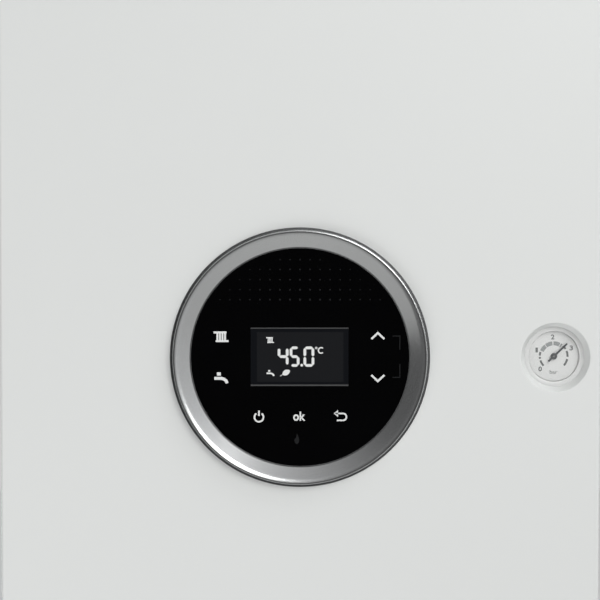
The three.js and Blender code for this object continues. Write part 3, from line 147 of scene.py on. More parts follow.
def surface(name, colour, roughness, metallic=0.0, mottle=0.03, mottle_size=60.0, grain_size=1.0,
            grain_depth=0.01, uneven=0.05, stretch=(1, 1, 1), **sockets):
    """A material whose colour drifts a little, whose gloss is uneven and whose grain stands proud.
    Sizes are in millimetres, and stretch draws the grain out along an axis."""
    material = bpy.data.materials.new(name)
    material.use_nodes = True
    nodes, links = material.node_tree.nodes, material.node_tree.links
    shader = nodes["Principled BSDF"]
    shader.inputs["Metallic"].default_value = metallic
    for socket, value in sockets.items():
        shader.inputs[socket.replace("_", " ")].default_value = value
    place = nodes.new("ShaderNodeTexCoord")
    scaled = nodes.new("ShaderNodeMapping")
    scaled.inputs["Scale"].default_value = [factor / mm for factor in stretch]
    links.new(place.outputs["Object"], scaled.inputs["Vector"])

    def noise(size, detail):
        node = nodes.new("ShaderNodeTexNoise")
        node.inputs["Scale"].default_value = 1 / size
        node.inputs["Detail"].default_value = detail
        links.new(scaled.outputs[0], node.inputs["Vector"])
        return node.outputs["Fac"]

    drift = nodes.new("ShaderNodeMix")
    drift.data_type = "RGBA"
    drift.inputs[6].default_value = [max(0.0, channel * (1 - mottle)) for channel in colour] + [1]
    drift.inputs[7].default_value = [min(1.0, channel * (1 + mottle)) for channel in colour] + [1]
    links.new(noise(mottle_size, 4), drift.inputs[0])
    links.new(drift.outputs[2], shader.inputs["Base Color"])
    grain = noise(grain_size, 3)
    gloss = nodes.new("ShaderNodeMapRange")
    gloss.inputs["To Min"].default_value = max(0.0, roughness - uneven)
    gloss.inputs["To Max"].default_value = min(1.0, roughness + uneven)
    links.new(grain, gloss.inputs["Value"])
    links.new(gloss.outputs["Result"], shader.inputs["Roughness"])
    bump = nodes.new("ShaderNodeBump")
    bump.inputs["Distance"].default_value = grain_depth * mm
    links.new(grain, bump.inputs["Height"])
    links.new(bump.outputs["Normal"], shader.inputs["Normal"])
    return material


floor_half, floor_back, floor_height = 20, 13, -5.0
floor_bm = bmesh.new()
bmesh.ops.create_grid(floor_bm, x_segments=1, y_segments=1, size=floor_half)
bmesh.ops.translate(floor_bm, verts=floor_bm.verts, vec=(0, floor_back, floor_height))
floor_mesh = bpy.data.meshes.new("floor")
floor_bm.to_mesh(floor_mesh)
floor_bm.free()
floor = bpy.data.objects.new("floor", floor_mesh)
scene.collection.objects.link(floor)
floor_mesh.materials.append(surface("floor", (0.82, 0.82, 0.81), 0.7, mottle=0.01, mottle_size=400))


# ---- Casing: front cover ----
# A deep-drawn steel pan in white powder coat. Its front edges are rounded, a round hole takes the
# display's ring, and a cone is drawn in round the pressure gauge. Two tabs take screws from below.

face = cover_low.y / mm  # the cover's face, as a y
rounding = 2
back = cover_high.y / mm  # the node's rearmost point, where its tabs end
left, right = cover_low.x / mm, cover_high.x / mm
low, high = cover_low.z / mm, cover_high.z / mm
sheet = 1.2
display_x, display_z = display.x / mm, display.z / mm
dial_low, dial_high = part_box("gauge_dial")
gauge_x, gauge_z = (dial_low.x + dial_high.x) / 2 / mm, (dial_low.z + dial_high.z) / 2 / mm
display_hole = 82.3
cone_radius, cone_end, cone_depth = 23, 20, 8.2
mouth_radius = cone_radius + 1.6
flange_half, flange_edge = 192.8, 7.2  # half the opening's width, its distance from top and bottom

white_paint = surface("white_paint", (0.735, 0.748, 0.741), 0.42, mottle=0.012, mottle_size=180,
                      grain_size=0.9, grain_depth=0.006, uneven=0.04)


def finished(bm, name, body, material, replaces=(), edge=0.0, angle=30):
    """Makes a piece of a bmesh in millimetres: welds it, faces it outwards and rounds its edges."""
    bmesh.ops.remove_doubles(bm, verts=bm.verts, dist=1e-4)
    bmesh.ops.recalc_face_normals(bm, faces=bm.faces)
    bmesh.ops.scale(bm, vec=(mm, mm, mm), verts=bm.verts)
    mesh = bpy.data.meshes.new(name)
    bm.to_mesh(mesh)
    bm.free()
    piece = bpy.data.objects.new(name, mesh)
    scene.collection.objects.link(piece)
    mesh.materials.append(material)
    mesh.shade_smooth()
    mesh.set_sharp_from_angle(angle=math.radians(angle))
    if edge:
        rounding = piece.modifiers.new("rounding", "BEVEL")
        rounding.width = edge * mm
        rounding.segments = 3
        rounding.limit_method = "ANGLE"
        rounding.angle_limit = math.radians(angle)
        evened = piece.modifiers.new("even_shading", "WEIGHTED_NORMAL")
        evened.keep_sharp = True
        evened.weight = 100
    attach(piece, body)
    if replaces:
        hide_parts(*replaces)
    return piece


def circle(bm, radius, x, y, z, segments=128):
    """A round loop of edges that stands upright and faces the front."""
    turned = Matrix.Translation((x, y, z)) @ Matrix.Rotation(math.pi / 2, 4, "X")
    made = bmesh.ops.create_circle(bm, cap_ends=False, radius=radius, segments=segments, matrix=turned)
    return list({edge for vert in made["verts"] for edge in vert.link_edges})


def pulled(bm, edges, centre, backward, factor=1.0):
    """Extrudes a loop of edges backwards and draws it in towards a centre."""
    made = bmesh.ops.extrude_edge_only(bm, edges=edges)["geom"]
    verts = [element for element in made if isinstance(element, bmesh.types.BMVert)]
    bmesh.ops.translate(bm, verts=verts, vec=(0, backward, 0))
    space = Matrix.Translation(-Vector(centre))
    bmesh.ops.scale(bm, vec=(factor, 1, factor), verts=verts, space=space)
    return [element for element in made if isinstance(element, bmesh.types.BMEdge)]


def drawn_cover():
    """The pan as one sheet without thickness, open at the back, with its hole, cone and flange."""
    bm = bmesh.new()
    bmesh.ops.create_cube(bm, size=1)
    bmesh.ops.scale(bm, vec=(right - left, back - face, high - low), verts=bm.verts)
    middle = ((left + right) / 2, (face + back) / 2, (low + high) / 2)
    bmesh.ops.translate(bm, vec=middle, verts=bm.verts)
    rear = [f for f in bm.faces if f.normal.y > 0.5]
    bmesh.ops.delete(bm, geom=rear, context="FACES_ONLY")
    rim = [e for e in bm.edges if not e.is_boundary]
    bmesh.ops.bevel(bm, geom=rim, offset=rounding, segments=6, profile=0.5, affect="EDGES", material=-1,
                    clamp_overlap=True)
    for direction in (Vector((0, -1, 0)), Vector((1, 0, 0)), Vector((-1, 0, 0)), Vector((0, 0, 1)),
                      Vector((0, 0, -1))):
        panel = max(bm.faces, key=lambda f: f.calc_area() if f.normal.dot(direction) > 0.99 else 0)
        bmesh.ops.inset_region(bm, faces=[panel], thickness=0.5, use_boundary=True)
    front = max(bm.faces, key=lambda f: f.calc_area() if f.normal.y < -0.99 else 0)
    outline = list(front.edges)
    bmesh.ops.delete(bm, geom=[front], context="FACES_ONLY")
    hole = circle(bm, display_hole, display_x, face, display_z)
    mouth = circle(bm, mouth_radius, gauge_x, face, gauge_z, 96)
    bmesh.ops.triangle_fill(bm, use_beauty=True, edges=outline + hole + mouth)
    centre = (gauge_x, 0, gauge_z)
    radius = mouth_radius
    for narrower, step in ((cone_radius + 0.6, 0), (cone_radius + 0.2, 0.08), (cone_radius - 0.1, 0.3),
                           (cone_radius - 0.35, 0.7), (cone_end, cone_depth - 1.08)):
        mouth = pulled(bm, mouth, centre, step, narrower / radius)
        radius = narrower
    opening = [e for e in bm.edges if e.is_boundary and min(v.co.y for v in e.verts) > back - 0.01]
    flange = bmesh.ops.extrude_edge_only(bm, edges=opening)["geom"]
    verts = [element for element in flange if isinstance(element, bmesh.types.BMVert)]
    space = Matrix.Translation(-Vector(middle))
    bmesh.ops.scale(bm, vec=(flange_half / right, 1, 1 - 2 * flange_edge / (high - low)), verts=verts,
                    space=space)
    bmesh.ops.recalc_face_normals(bm, faces=bm.faces)
    return bm


cover = finished(drawn_cover(), "front_cover_shell", "cover", white_paint,
                 ["front_cover"])
if sum(f.normal.y * f.area for f in cover.data.polygons) > 0:
    cover.data.flip_normals()
sides = {}
for polygon in cover.data.polygons:
    for key in polygon.edge_keys:
        sides[key] = sides.get(key, 0) + 1
for edge in cover.data.edges:
    edge.use_edge_sharp = edge.use_edge_sharp or sides.get(edge.key, 0) == 1
wall = cover.modifiers.new("sheet", "SOLIDIFY")
wall.thickness = sheet * mm
wall.offset = -1
wall.use_even_offset = True

tab_half, tab_reach, tab_hole = 15, 28.3, 2.3
screw_low, screw_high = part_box("cover_screw_right")
screw_x = (screw_low.x + screw_high.x) / 2 / mm
screw_y = (screw_low.y + screw_high.y) / 2 / mm
tabs_bm = bmesh.new()
for side in (-1, 1):
    made = bmesh.ops.create_grid(tabs_bm, x_segments=1, y_segments=1, size=1)["verts"]
    edges = list({edge for vert in made for edge in vert.link_edges})
    faces = list({f for vert in made for f in vert.link_faces})
    bmesh.ops.delete(tabs_bm, geom=faces, context="FACES_ONLY")
    bmesh.ops.scale(tabs_bm, vec=(tab_half, tab_reach / 2, 1), verts=made)
    bmesh.ops.translate(tabs_bm, vec=(side * screw_x, back + tab_reach / 2 - 0.6, low), verts=made)
    turned = Matrix.Translation((side * screw_x, screw_y, low))
    hole = bmesh.ops.create_circle(tabs_bm, cap_ends=False, radius=tab_hole, segments=32, matrix=turned)
    edges += list({edge for vert in hole["verts"] for edge in vert.link_edges})
    filled = bmesh.ops.triangle_fill(tabs_bm, use_beauty=True, edges=edges)["geom"]
    filled = [f for f in filled if isinstance(f, bmesh.types.BMFace)]
    raised = bmesh.ops.extrude_face_region(tabs_bm, geom=filled)["geom"]
    raised = [v for v in raised if isinstance(v, bmesh.types.BMVert)]
    bmesh.ops.translate(tabs_bm, vec=(0, 0, sheet), verts=raised)
finished(tabs_bm, "front_cover_tabs", "cover", white_paint, edge=0.25)


# ---- Casing: cover seal and screws ----
# A foam strip stuck round the cover's mouth, and two zinc-plated cross-head screws, captive in the
# cover's tabs. The strip's cells show as a fine open grain.


def dress(material, *names):
    """Gives carried-over nodes their finish."""
    for name in names:
        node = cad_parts[name]
        node.data.materials.clear()
        node.data.materials.append(material)


foam = surface("foam_seal", (0.13, 0.132, 0.135), 0.92, mottle=0.25, mottle_size=6, grain_size=0.6,
               grain_depth=0.25, uneven=0.05)
screw_steel = surface("steel_fastener", (0.62, 0.61, 0.58), 0.34, 1.0, mottle=0.1, mottle_size=3,
                      grain_size=0.25, grain_depth=0.006)
dress(foam, "cover_seal")
dress(screw_steel, "cover_screw_left", "cover_screw_right")


# ---- Display: satin ring ----
# A turned ring with a satin nickel finish, clipped into the cover's hole. A fine step lies next to
# the glass, a broad band slopes out of it to a rounded crest, and a low foot lies on the cover.


def spun(bm, profile, x, z, segments=160):
    """Turns a closed profile of (radius, depth behind the cover's face) about a y axis."""
    verts = [bm.verts.new((x + radius, face + depth, z)) for radius, depth in profile]
    edges = [bm.edges.new(pair) for pair in zip(verts, verts[1:])]
    bmesh.ops.spin(bm, geom=verts + edges, cent=(x, 0, z), axis=(0, 1, 0), angle=2 * math.pi,
                   steps=segments, use_merge=True)


satin = surface("satin_ring", (0.6, 0.61, 0.615), 0.27, 1.0, mottle=0.02, mottle_size=25,
                grain_size=0.18, grain_depth=0.0012, uneven=0.03)
ring_bm = bmesh.new()
spun(ring_bm, [
    (72.8, 1.0), (72.8, 0.38), (72.9, 0.28), (73.62, 0.27),
    (74.9, -0.65), (80.4, -4.58), (80.65, -4.76), (81.25, -5.13), (81.85, -5.43),
    (82.5, -5.68), (83.1, -5.86), (83.55, -5.97), (84.1, -6.0), (84.4, -5.88), (84.6, -5.55),
    (84.7, -4.9), (84.95, -0.64), (86.6, -0.6), (86.7, -0.5), (86.7, -0.05),
    (82.0, -0.05), (82.0, 7), (80, 7), (80, -2.2), (72.8, 1.0),
], display_x, display_z)
finished(ring_bm, "display_ring_turned", "cover", satin, ["display_ring"], angle=31)


# ---- Display: glass with its printed symbols ----
# A disc of float glass, blacked out from behind and pressed as a flat keypad. The symbols of the
# keys, the display window and what it reads lie on it as films a fiftieth of a millimetre thick.

black_glass = surface("black_glass", (0.0012, 0.0012, 0.0014), 0.05, mottle=0.3, mottle_size=30,
                      grain_size=8, grain_depth=0.002, uneven=0.015)
glass_face = glass_low.y / mm - face
glass_bm = bmesh.new()
spun(glass_bm, [
    (0, glass_face), (74.2, glass_face), (74.5, glass_face), (74.85, glass_face + 0.12),
    (75, glass_face + 0.45), (75, glass_face + 1.6), (74.8, glass_face + 2), (0, glass_face + 2),
], display_x, display_z, 128)
finished(glass_bm, "display_glass_disc", "control_box", black_glass, ["display_glass"])

film = 0.02


def printed(bm, name, body, material, centre, depth):
    """Lays flat shapes, drawn as (x, z) round a centre, on a face as a thin film."""
    bmesh.ops.remove_doubles(bm, verts=bm.verts, dist=1e-4)
    faces = list(bm.faces)
    bmesh.ops.recalc_face_normals(bm, faces=faces)
    turned = [f for f in faces if f.normal.y > 0]
    bmesh.ops.reverse_faces(bm, faces=turned)
    raised = bmesh.ops.extrude_face_region(bm, geom=faces, use_keep_orig=True)["geom"]
    raised = [v for v in raised if isinstance(v, bmesh.types.BMVert)]
    bmesh.ops.translate(bm, vec=(0, -film, 0), verts=raised)
    bmesh.ops.translate(bm, vec=(centre[0], face + depth - 0.003, centre[1]), verts=bm.verts)
    return finished(bm, name, body, material)


def ribbon(bm, points, width, closed=False):
    """A flat strip of constant width along a line of (x, z) points, mitred at its corners."""
    points = [Vector(point) for point in points]
    count = len(points)
    pairs = []
    for i, point in enumerate(points):
        before = points[i - 1] if closed or i else None
        after = points[(i + 1) % count] if closed or i < count - 1 else None
        arriving = (point - before).normalized() if before is not None else None
        leaving = (after - point).normalized() if after is not None else arriving
        arriving = arriving or leaving
        across = Vector((-(arriving + leaving).y, (arriving + leaving).x)).normalized()
        reach = width / 2 / max(0.35, across.dot(Vector((-leaving.y, leaving.x))))
        pairs.append([bm.verts.new((spot.x, 0, spot.y)) for spot in
                      (point + across * reach, point - across * reach)])
    for i in range(count if closed else count - 1):
        (a, b), (c, d) = pairs[i], pairs[(i + 1) % count]
        bm.faces.new((a, b, d, c))


def plate(bm, outline):
    """A flat shape with the outline given as (x, z) points."""
    bm.faces.new([bm.verts.new((x, 0, z)) for x, z in outline])


def arc(x, z, radius, start, end, steps=24):
    """Points along an arc from one angle in degrees to another."""
    turns = [math.radians(start + (end - start) * i / steps) for i in range(steps + 1)]
    return [(x + radius * math.cos(turn), z + radius * math.sin(turn)) for turn in turns]


def dot(bm, x, z, radius, steps=20):
    """A small filled disc."""
    plate(bm, arc(x, z, radius, 0, 360 - 360 / steps, steps - 1))


def radiator(bm, x, z, width, height):
    """A panel radiator: four columns, a header that runs out on the left and a foot on the right."""
    for i in range(4):
        column = x + width * (-0.245 + i * 0.17)
        ribbon(bm, [(column, z - height * 0.31), (column, z + height * 0.31)], width * 0.125)
    for level, start, end in ((0.405, -0.5, 0.36), (-0.405, -0.36, 0.5)):
        row = z + level * height
        ribbon(bm, [(x + start * width, row), (x + end * width, row)], height * 0.19)


def tap(bm, x, z, width, height):
    """A tap seen from the side: a handle, a body and a spout that bends down on the right."""
    thick = height * 0.27
    plate(bm, [(x + across * width, z + up * height) for across, up in
               ((-0.3, 0.2), (-0.02, 0.2), (-0.02, 0.5), (-0.3, 0.5))])
    ribbon(bm, [(x - width * 0.5, z - height * 0.05), (x + width * 0.02, z - height * 0.05),
                (x + width * 0.22, z - height * 0.13), (x + width * 0.36, z - height * 0.27),
                (x + width * 0.44, z - height * 0.5)], thick)


def lettering(bm, text, low_x, high_x, low_z, high_z, weight=0.0):
    """Plain characters, drawn to fill a box."""
    curve = bpy.data.curves.new("lettering", "FONT")
    curve.body = text
    curve.offset = weight
    curve.resolution_u = 6
    written = bpy.data.objects.new("lettering", curve)
    scene.collection.objects.link(written)
    bpy.context.view_layer.update()
    mesh = bpy.data.meshes.new_from_object(written)
    bpy.data.objects.remove(written)
    bpy.data.curves.remove(curve)
    xs, ys = [v.co.x for v in mesh.vertices], [v.co.y for v in mesh.vertices]
    wide, tall = (high_x - low_x) / (max(xs) - min(xs)), (high_z - low_z) / (max(ys) - min(ys))
    for vertex in mesh.vertices:
        across, up = vertex.co.x, vertex.co.y
        vertex.co = (low_x + (across - min(xs)) * wide, 0, low_z + (up - min(ys)) * tall)
    bm.from_mesh(mesh)
    bpy.data.meshes.remove(mesh)


def segments(bm, lit, low_x, high_x, low_z, high_z, width):
    """One digit of a seven-segment display. The segments are named a to g, from the top clockwise."""
    half = width / 2
    left_x, right_x = low_x + half, high_x - half
    bottom_z, top_z = low_z + half, high_z - half
    middle_z = (low_z + high_z) / 2
    ends = {
        "a": ((left_x, top_z), (right_x, top_z)), "b": ((right_x, top_z), (right_x, middle_z)),
        "c": ((right_x, middle_z), (right_x, bottom_z)), "d": ((left_x, bottom_z), (right_x, bottom_z)),
        "e": ((left_x, middle_z), (left_x, bottom_z)), "f": ((left_x, top_z), (left_x, middle_z)),
        "g": ((left_x, middle_z), (right_x, middle_z)),
    }
    for key in lit:
        start, end = (Vector(point) for point in ends[key])
        along = (end - start).normalized()
        side = Vector((-along.y, along.x)) * half
        first, last = start + along * 0.06, end - along * 0.06
        corners = [first, first + along * half + side, last - along * half + side, last,
                   last - along * half - side, first + along * half - side]
        plate(bm, [(corner.x, corner.y) for corner in corners])


white_ink = surface("white_ink", (0.75, 0.76, 0.755), 0.5, mottle=0.02, mottle_size=1, grain_size=0.2,
                    grain_depth=0.001)
centre = (display_x, display_z)
keys_bm = bmesh.new()
radiator(keys_bm, -52.6, 13.7, 10, 7.1)
tap(keys_bm, -52.6, -13.7, 9.2, 7.3)
for level, way in ((14.3, 1), (-14.0, -1)):
    ribbon(keys_bm, [(51.9 - 4.3, level - 2.1 * way), (51.9, level + 2.0 * way),
                     (51.9 + 4.3, level - 2.1 * way)], 1.35)
ribbon(keys_bm, arc(-27.4, -40.1, 3.0, 125, 415, 40), 1.15)
ribbon(keys_bm, [(-27.4, -39.2), (-27.4, -35.6)], 1.15)
lettering(keys_bm, "ok", -4.6, 3.6, -42.5, -36.3, 0.025)
ribbon(keys_bm, [(23.6, -37.6)] + arc(28.7, -39.9, 2.3, 90, -90, 12) + [(24.6, -42.2)], 1.05)
plate(keys_bm, [(22.5, -37.6), (25.4, -35.2), (25.4, -40.0)])
printed(keys_bm, "key_symbols", "control_box", white_ink, centre, glass_face)

faint_ink = surface("faint_ink", (0.0125, 0.013, 0.014), 0.45, mottle=0.05, mottle_size=2,
                    Specular_IOR_Level=0.15)
faint_bm = bmesh.new()
for row, count in ((65.1, 5), (58.6, 11), (51.8, 13), (45.1, 15), (38.5, 17)):
    for i in range(count):
        column = (i - (count - 1) / 2) * 6.67
        dot(faint_bm, column, row, 0.68 - 0.006 * abs(column) - 0.008 * (row - 38.5), 12)
for level, bar_z in ((-1, -13.4), (1, 14.2)):
    ribbon(faint_bm, [(61.7, bar_z), (66.6, bar_z), (66.6, bar_z - level * 9)], 0.6)
flame = [(-2.1, -50.9), (-1.0, -53.3), (-0.5, -55.2), (-0.9, -57.2), (-2.1, -58.3), (-3.4, -57.2),
         (-3.8, -55.4), (-3.2, -54.0), (-2.7, -54.6)]
plate(faint_bm, flame)
printed(faint_bm, "faint_marks", "control_box", faint_ink, centre, glass_face)


# ---- Display: the window and its reading ----
# The liquid-crystal window shows through the blacked-out glass. A slightly lighter field lies in a
# near-black border with a thin grey line above and below, and the reading stands on it in white.

border = surface("window_border", (0.003, 0.0036, 0.0052), 0.4, mottle=0.05, mottle_size=5,
                 Specular_IOR_Level=0.15)
field = surface("window_field", (0.0085, 0.009, 0.0105), 0.4, mottle=0.03, mottle_size=8,
                Specular_IOR_Level=0.15)
edge_grey = surface("window_edge", (0.066, 0.067, 0.068), 0.4, mottle=0.03, mottle_size=5,
                    Specular_IOR_Level=0.15)


def window(name, material, depth, *boxes):
    bm = bmesh.new()
    for low_x, low_z, high_x, high_z in boxes:
        plate(bm, [(low_x, low_z), (high_x, low_z), (high_x, high_z), (low_x, high_z)])
    printed(bm, name, "control_box", material, centre, glass_face - depth)


window("window_border", border, 0, (-32.9, -19.2, 32.3, 19.8))
window("window_field", field, film, (-28.7, -16.4, 28.9, 16.8))
window("window_edges", edge_grey, film, (-32.9, 19.1, 32.3, 19.8), (-32.9, -19.2, 32.3, -18.2))
reading_bm = bmesh.new()
segments(reading_bm, "fgbc", -14.9, -7.6, -6.0, 6.9, 1.85)
segments(reading_bm, "afgcd", -6.9, -0.3, -6.35, 7.25, 1.85)
segments(reading_bm, "abcdef", 2.3, 9.55, -6.35, 7.25, 1.85)
dot(reading_bm, 1.15, -5.3, 0.95, 16)
ribbon(reading_bm, arc(10.8, 6.2, 0.62, 0, 330, 11), 0.42, closed=True)
ribbon(reading_bm, arc(14.1, 4.6, 1.85, 50, 310, 20), 0.85)
radiator(reading_bm, -19.9, 11.5, 5.2, 3.9)
tap(reading_bm, -19.7, -10.5, 5.2, 4)
leaf_tip, leaf_stem = Vector((-6.6, -8.7)), Vector((-11.9, -11.7))
along = leaf_tip - leaf_stem
across = Vector((-along.y, along.x))
shape = [(i / 10, 0.3 * math.sin(math.pi * i / 10) ** 0.8) for i in range(11)]
shape += [(far, -wide) for far, wide in reversed(shape[1:-1])]
plate(reading_bm, [tuple(leaf_stem + along * far + across * wide) for far, wide in shape])
ribbon(reading_bm, [(-13.2, -12.5), (-12.0, -11.8)], 0.45)
printed(reading_bm, "reading", "control_box", white_ink, centre, glass_face - 2 * film)


# ---- Pressure gauge: rim, dial, needle and lens ----
# A white plastic cup stands in the cover's cone. Its dial is a printed disc with a scale of 0 to 4
# bar, numbered up to 3. A painted needle turns on a steel arbor, and a clear disc lies over both.

white_plastic = surface("white_plastic", (0.74, 0.745, 0.74), 0.36, mottle=0.015, mottle_size=12,
                        grain_size=0.8, grain_depth=0.004)
dial_face = dial_low.y / mm - face
rim_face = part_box("gauge_body")[0].y / mm - face
cup_bm = bmesh.new()
spun(cup_bm, [
    (20.9, rim_face + 1.6), (21, rim_face + 1.3), (21, rim_face + 0.2), (20.8, rim_face),
    (17.4, rim_face), (17.1, rim_face + 0.15), (17.0, rim_face + 0.5), (17.0, dial_face + 0.9),
    (14, dial_face + 0.9), (14, dial_face + 4), (1.2, dial_face + 4), (1.2, 24), (18.2, 24),
    (18.4, 23.8), (18.4, rim_face + 2), (20.9, rim_face + 1.6),
], gauge_x, gauge_z, 96)
finished(cup_bm, "gauge_cup", "control_box", white_plastic, ["gauge_body"])


def tube(bm, points, radius, bend, sides=24, bend_steps=8):
    """A round bar through (x, y, z) points, with each corner bent to a radius and both ends closed."""
    points = [Vector(point) for point in points]
    path = [points[0]]
    for before, corner, after in zip(points, points[1:], points[2:]):
        start, end = (before - corner).normalized(), (after - corner).normalized()
        turn = math.pi - start.angle(end)
        reach = min(bend * math.tan(turn / 2), (before - corner).length * 0.49,
                    (after - corner).length * 0.49)
        swing = reach / math.tan(turn / 2)
        centre = corner + (start + end).normalized() * math.hypot(reach, swing)
        first, last = corner + start * reach - centre, corner + end * reach - centre
        axis = first.cross(last).normalized()
        for i in range(bend_steps + 1):
            path.append(centre + Quaternion(axis, turn * i / bend_steps) @ first)
    path.append(points[-1])
    heading = (path[1] - path[0]).normalized()
    side = heading.orthogonal().normalized()
    loops = []
    for i, point in enumerate(path):
        arriving = (point - path[i - 1]).normalized() if i else heading
        leaving = (path[i + 1] - point).normalized() if i < len(path) - 1 else arriving
        tangent = (arriving + leaving).normalized()
        side = (side - tangent * side.dot(tangent)).normalized()
        up = tangent.cross(side)
        loops.append([bm.verts.new(point + (side * math.cos(a) + up * math.sin(a)) * radius)
                      for a in (2 * math.pi * k / sides for k in range(sides))])
    for near, far in zip(loops, loops[1:]):
        for k in range(sides):
            bm.faces.new((near[k - 1], near[k], far[k], far[k - 1]))
    bm.faces.new(list(reversed(loops[0])))
    bm.faces.new(loops[-1])


brass = surface("brass", (0.55, 0.42, 0.2), 0.33, 1.0, mottle=0.1, mottle_size=14, grain_size=0.5,
                grain_depth=0.01, uneven=0.07)
union_bm = bmesh.new()
turned = Matrix.Translation((gauge_x, face + 30, gauge_z)) @ Matrix.Rotation(math.pi / 2, 4, "X")
bmesh.ops.create_cone(union_bm, cap_ends=True, segments=6, radius1=6, radius2=6, depth=14,
                      matrix=turned)
finished(union_bm, "gauge_union", "control_box", brass, edge=0.4)

stem_bm = bmesh.new()
hinge_y, hinge_z = -248, low + 62
tube(stem_bm, [(gauge_x, face + 35, gauge_z), (gauge_x, hinge_y, gauge_z), (gauge_x, hinge_y, hinge_z)],
     1.6, 12, 16)
copper = surface("copper", (0.62, 0.33, 0.22), 0.3, 1.0, mottle=0.16, mottle_size=22, grain_size=0.7,
                 grain_depth=0.006, uneven=0.08)
finished(stem_bm, "gauge_stem", "control_box", copper)

dial_paint = surface("dial_print", (0.77, 0.775, 0.77), 0.5, mottle=0.012, mottle_size=6,
                     grain_size=0.4, grain_depth=0.001)
dial_bm = bmesh.new()
spun(dial_bm, [(1, dial_face), (16.5, dial_face), (16.6, dial_face), (16.7, dial_face + 0.1),
               (16.7, dial_face + 0.6), (1, dial_face + 0.6), (1, dial_face)], gauge_x, gauge_z, 96)
finished(dial_bm, "gauge_dial_plate", "control_box", dial_paint, ["gauge_dial"])

scale_grey = surface("scale_grey", (0.11, 0.115, 0.115), 0.5, mottle=0.04, mottle_size=1)
band_grey = surface("band_grey", (0.27, 0.285, 0.285), 0.5, mottle=0.04, mottle_size=1)
pale_grey = surface("pale_grey", (0.2, 0.205, 0.205), 0.5, mottle=0.04, mottle_size=1)
gauge_centre = (gauge_x, gauge_z)
scale_bm = bmesh.new()
for start, end in ((224, 198), (191, 183), (178, 163), (38, 31), (22, -3), (-12, -42)):
    ribbon(scale_bm, arc(0, 0, 9.3, start, end, 10), 1.4)
for text, x, z, half in (("0", -9.0, -8.6, 1.15), ("1", -11.4, 4.1, 0.8), ("2", -0.7, 12.9, 1.15),
                         ("3", 11.8, 5.5, 1.15)):
    lettering(scale_bm, text, x - half, x + half, z - 1.65, z + 1.65, 0.03)
printed(scale_bm, "gauge_scale", "control_box", scale_grey, gauge_centre, dial_face)
band_bm = bmesh.new()
for start, end in ((157, 129), (126, 96), (91, 63), (60, 53)):
    ribbon(band_bm, arc(0, 0, 8.6, start, end, 10), 2.7)
printed(band_bm, "gauge_bands", "control_box", band_grey, gauge_centre, dial_face)
unit_bm = bmesh.new()
lettering(unit_bm, "bar", -2.6, 2.6, -11.9, -9.4, 0.015)
printed(unit_bm, "gauge_unit", "control_box", pale_grey, gauge_centre, dial_face)

needle_paint = surface("needle_paint", (0.035, 0.04, 0.045), 0.42, mottle=0.08, mottle_size=2)
needle_bm = bmesh.new()
way = math.radians(43.7)
outline = [(-4.9, 0.62), (-1.5, 0.68), (8.0, 0.62), (9.0, 0.95), (9.9, 0.62), (12.0, 0.56), (12.4, 0.25)]
outline += [(x, -z) for x, z in reversed(outline)] + [(-5.1, -0.3), (-5.1, 0.3)]
plate(needle_bm, [(x * math.cos(way) - z * math.sin(way), x * math.sin(way) + z * math.cos(way))
                  for x, z in outline])
raised = bmesh.ops.extrude_face_region(needle_bm, geom=list(needle_bm.faces), use_keep_orig=True)["geom"]
raised = [v for v in raised if isinstance(v, bmesh.types.BMVert)]
bmesh.ops.translate(needle_bm, vec=(0, 0.6, 0), verts=raised)
bmesh.ops.translate(needle_bm, vec=(gauge_x, face + dial_face - 1.6, gauge_z), verts=needle_bm.verts)
finished(needle_bm, "gauge_hand", "gauge_needle", needle_paint, ["gauge_needle"],
         edge=0.1)
hub_bm = bmesh.new()
spun(hub_bm, [(0.5, dial_face - 1.9), (1.4, dial_face - 2.05), (2.0, dial_face - 1.95),
              (2.2, dial_face - 1.6), (2.2, dial_face - 0.9), (0.7, dial_face - 0.9),
              (0.7, dial_face + 3), (0.5, dial_face + 3), (0.5, dial_face - 1.9)],
     gauge_x, gauge_z, 40)
finished(hub_bm, "gauge_hub", "gauge_needle", needle_paint)
arbor_bm = bmesh.new()
spun(arbor_bm, [(0, dial_face - 1.8), (0.45, dial_face - 1.8), (0.45, dial_face + 3),
                (0, dial_face + 3)], gauge_x, gauge_z, 24)
finished(arbor_bm, "gauge_arbor", "gauge_needle", screw_steel)

clear = surface("clear_lens", (0.9, 0.91, 0.91), 0.05, mottle=0.0, grain_size=6, grain_depth=0.001,
                uneven=0.01, Alpha=0.05)
lens_low, lens_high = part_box("gauge_lens")
lens_face, lens_back = lens_low.y / mm - face, lens_high.y / mm - face
lens_bm = bmesh.new()
spun(lens_bm, [(0, lens_face), (16.2, lens_face), (16.4, lens_face), (16.7, lens_face + 0.25),
               (16.7, lens_back), (0, lens_back)], gauge_x, gauge_z, 96)
finished(lens_bm, "gauge_window", "control_box", clear, ["gauge_lens"])


# ---- Casing: side panels, top plate, bottom plate ----
# Folded steel sheets. The two side panels and the top plate carry the cover's white powder coat, and
# the bottom plate, which the pipes come through, is bare galvanised steel.


def softened(name, body, material, edge=0.3, angle=35):
    """A copy of a carried-over node with its edges broken, as a press or a mould leaves them."""
    bm = bmesh.new()
    bm.from_mesh(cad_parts[name].data)
    bmesh.ops.scale(bm, vec=(1 / mm, 1 / mm, 1 / mm), verts=bm.verts)
    bmesh.ops.remove_doubles(bm, verts=bm.verts, dist=1e-3)
    bmesh.ops.dissolve_limit(bm, angle_limit=math.radians(0.6), verts=bm.verts, edges=bm.edges)
    return finished(bm, name + "_finished", body, material, [name], edge, angle)


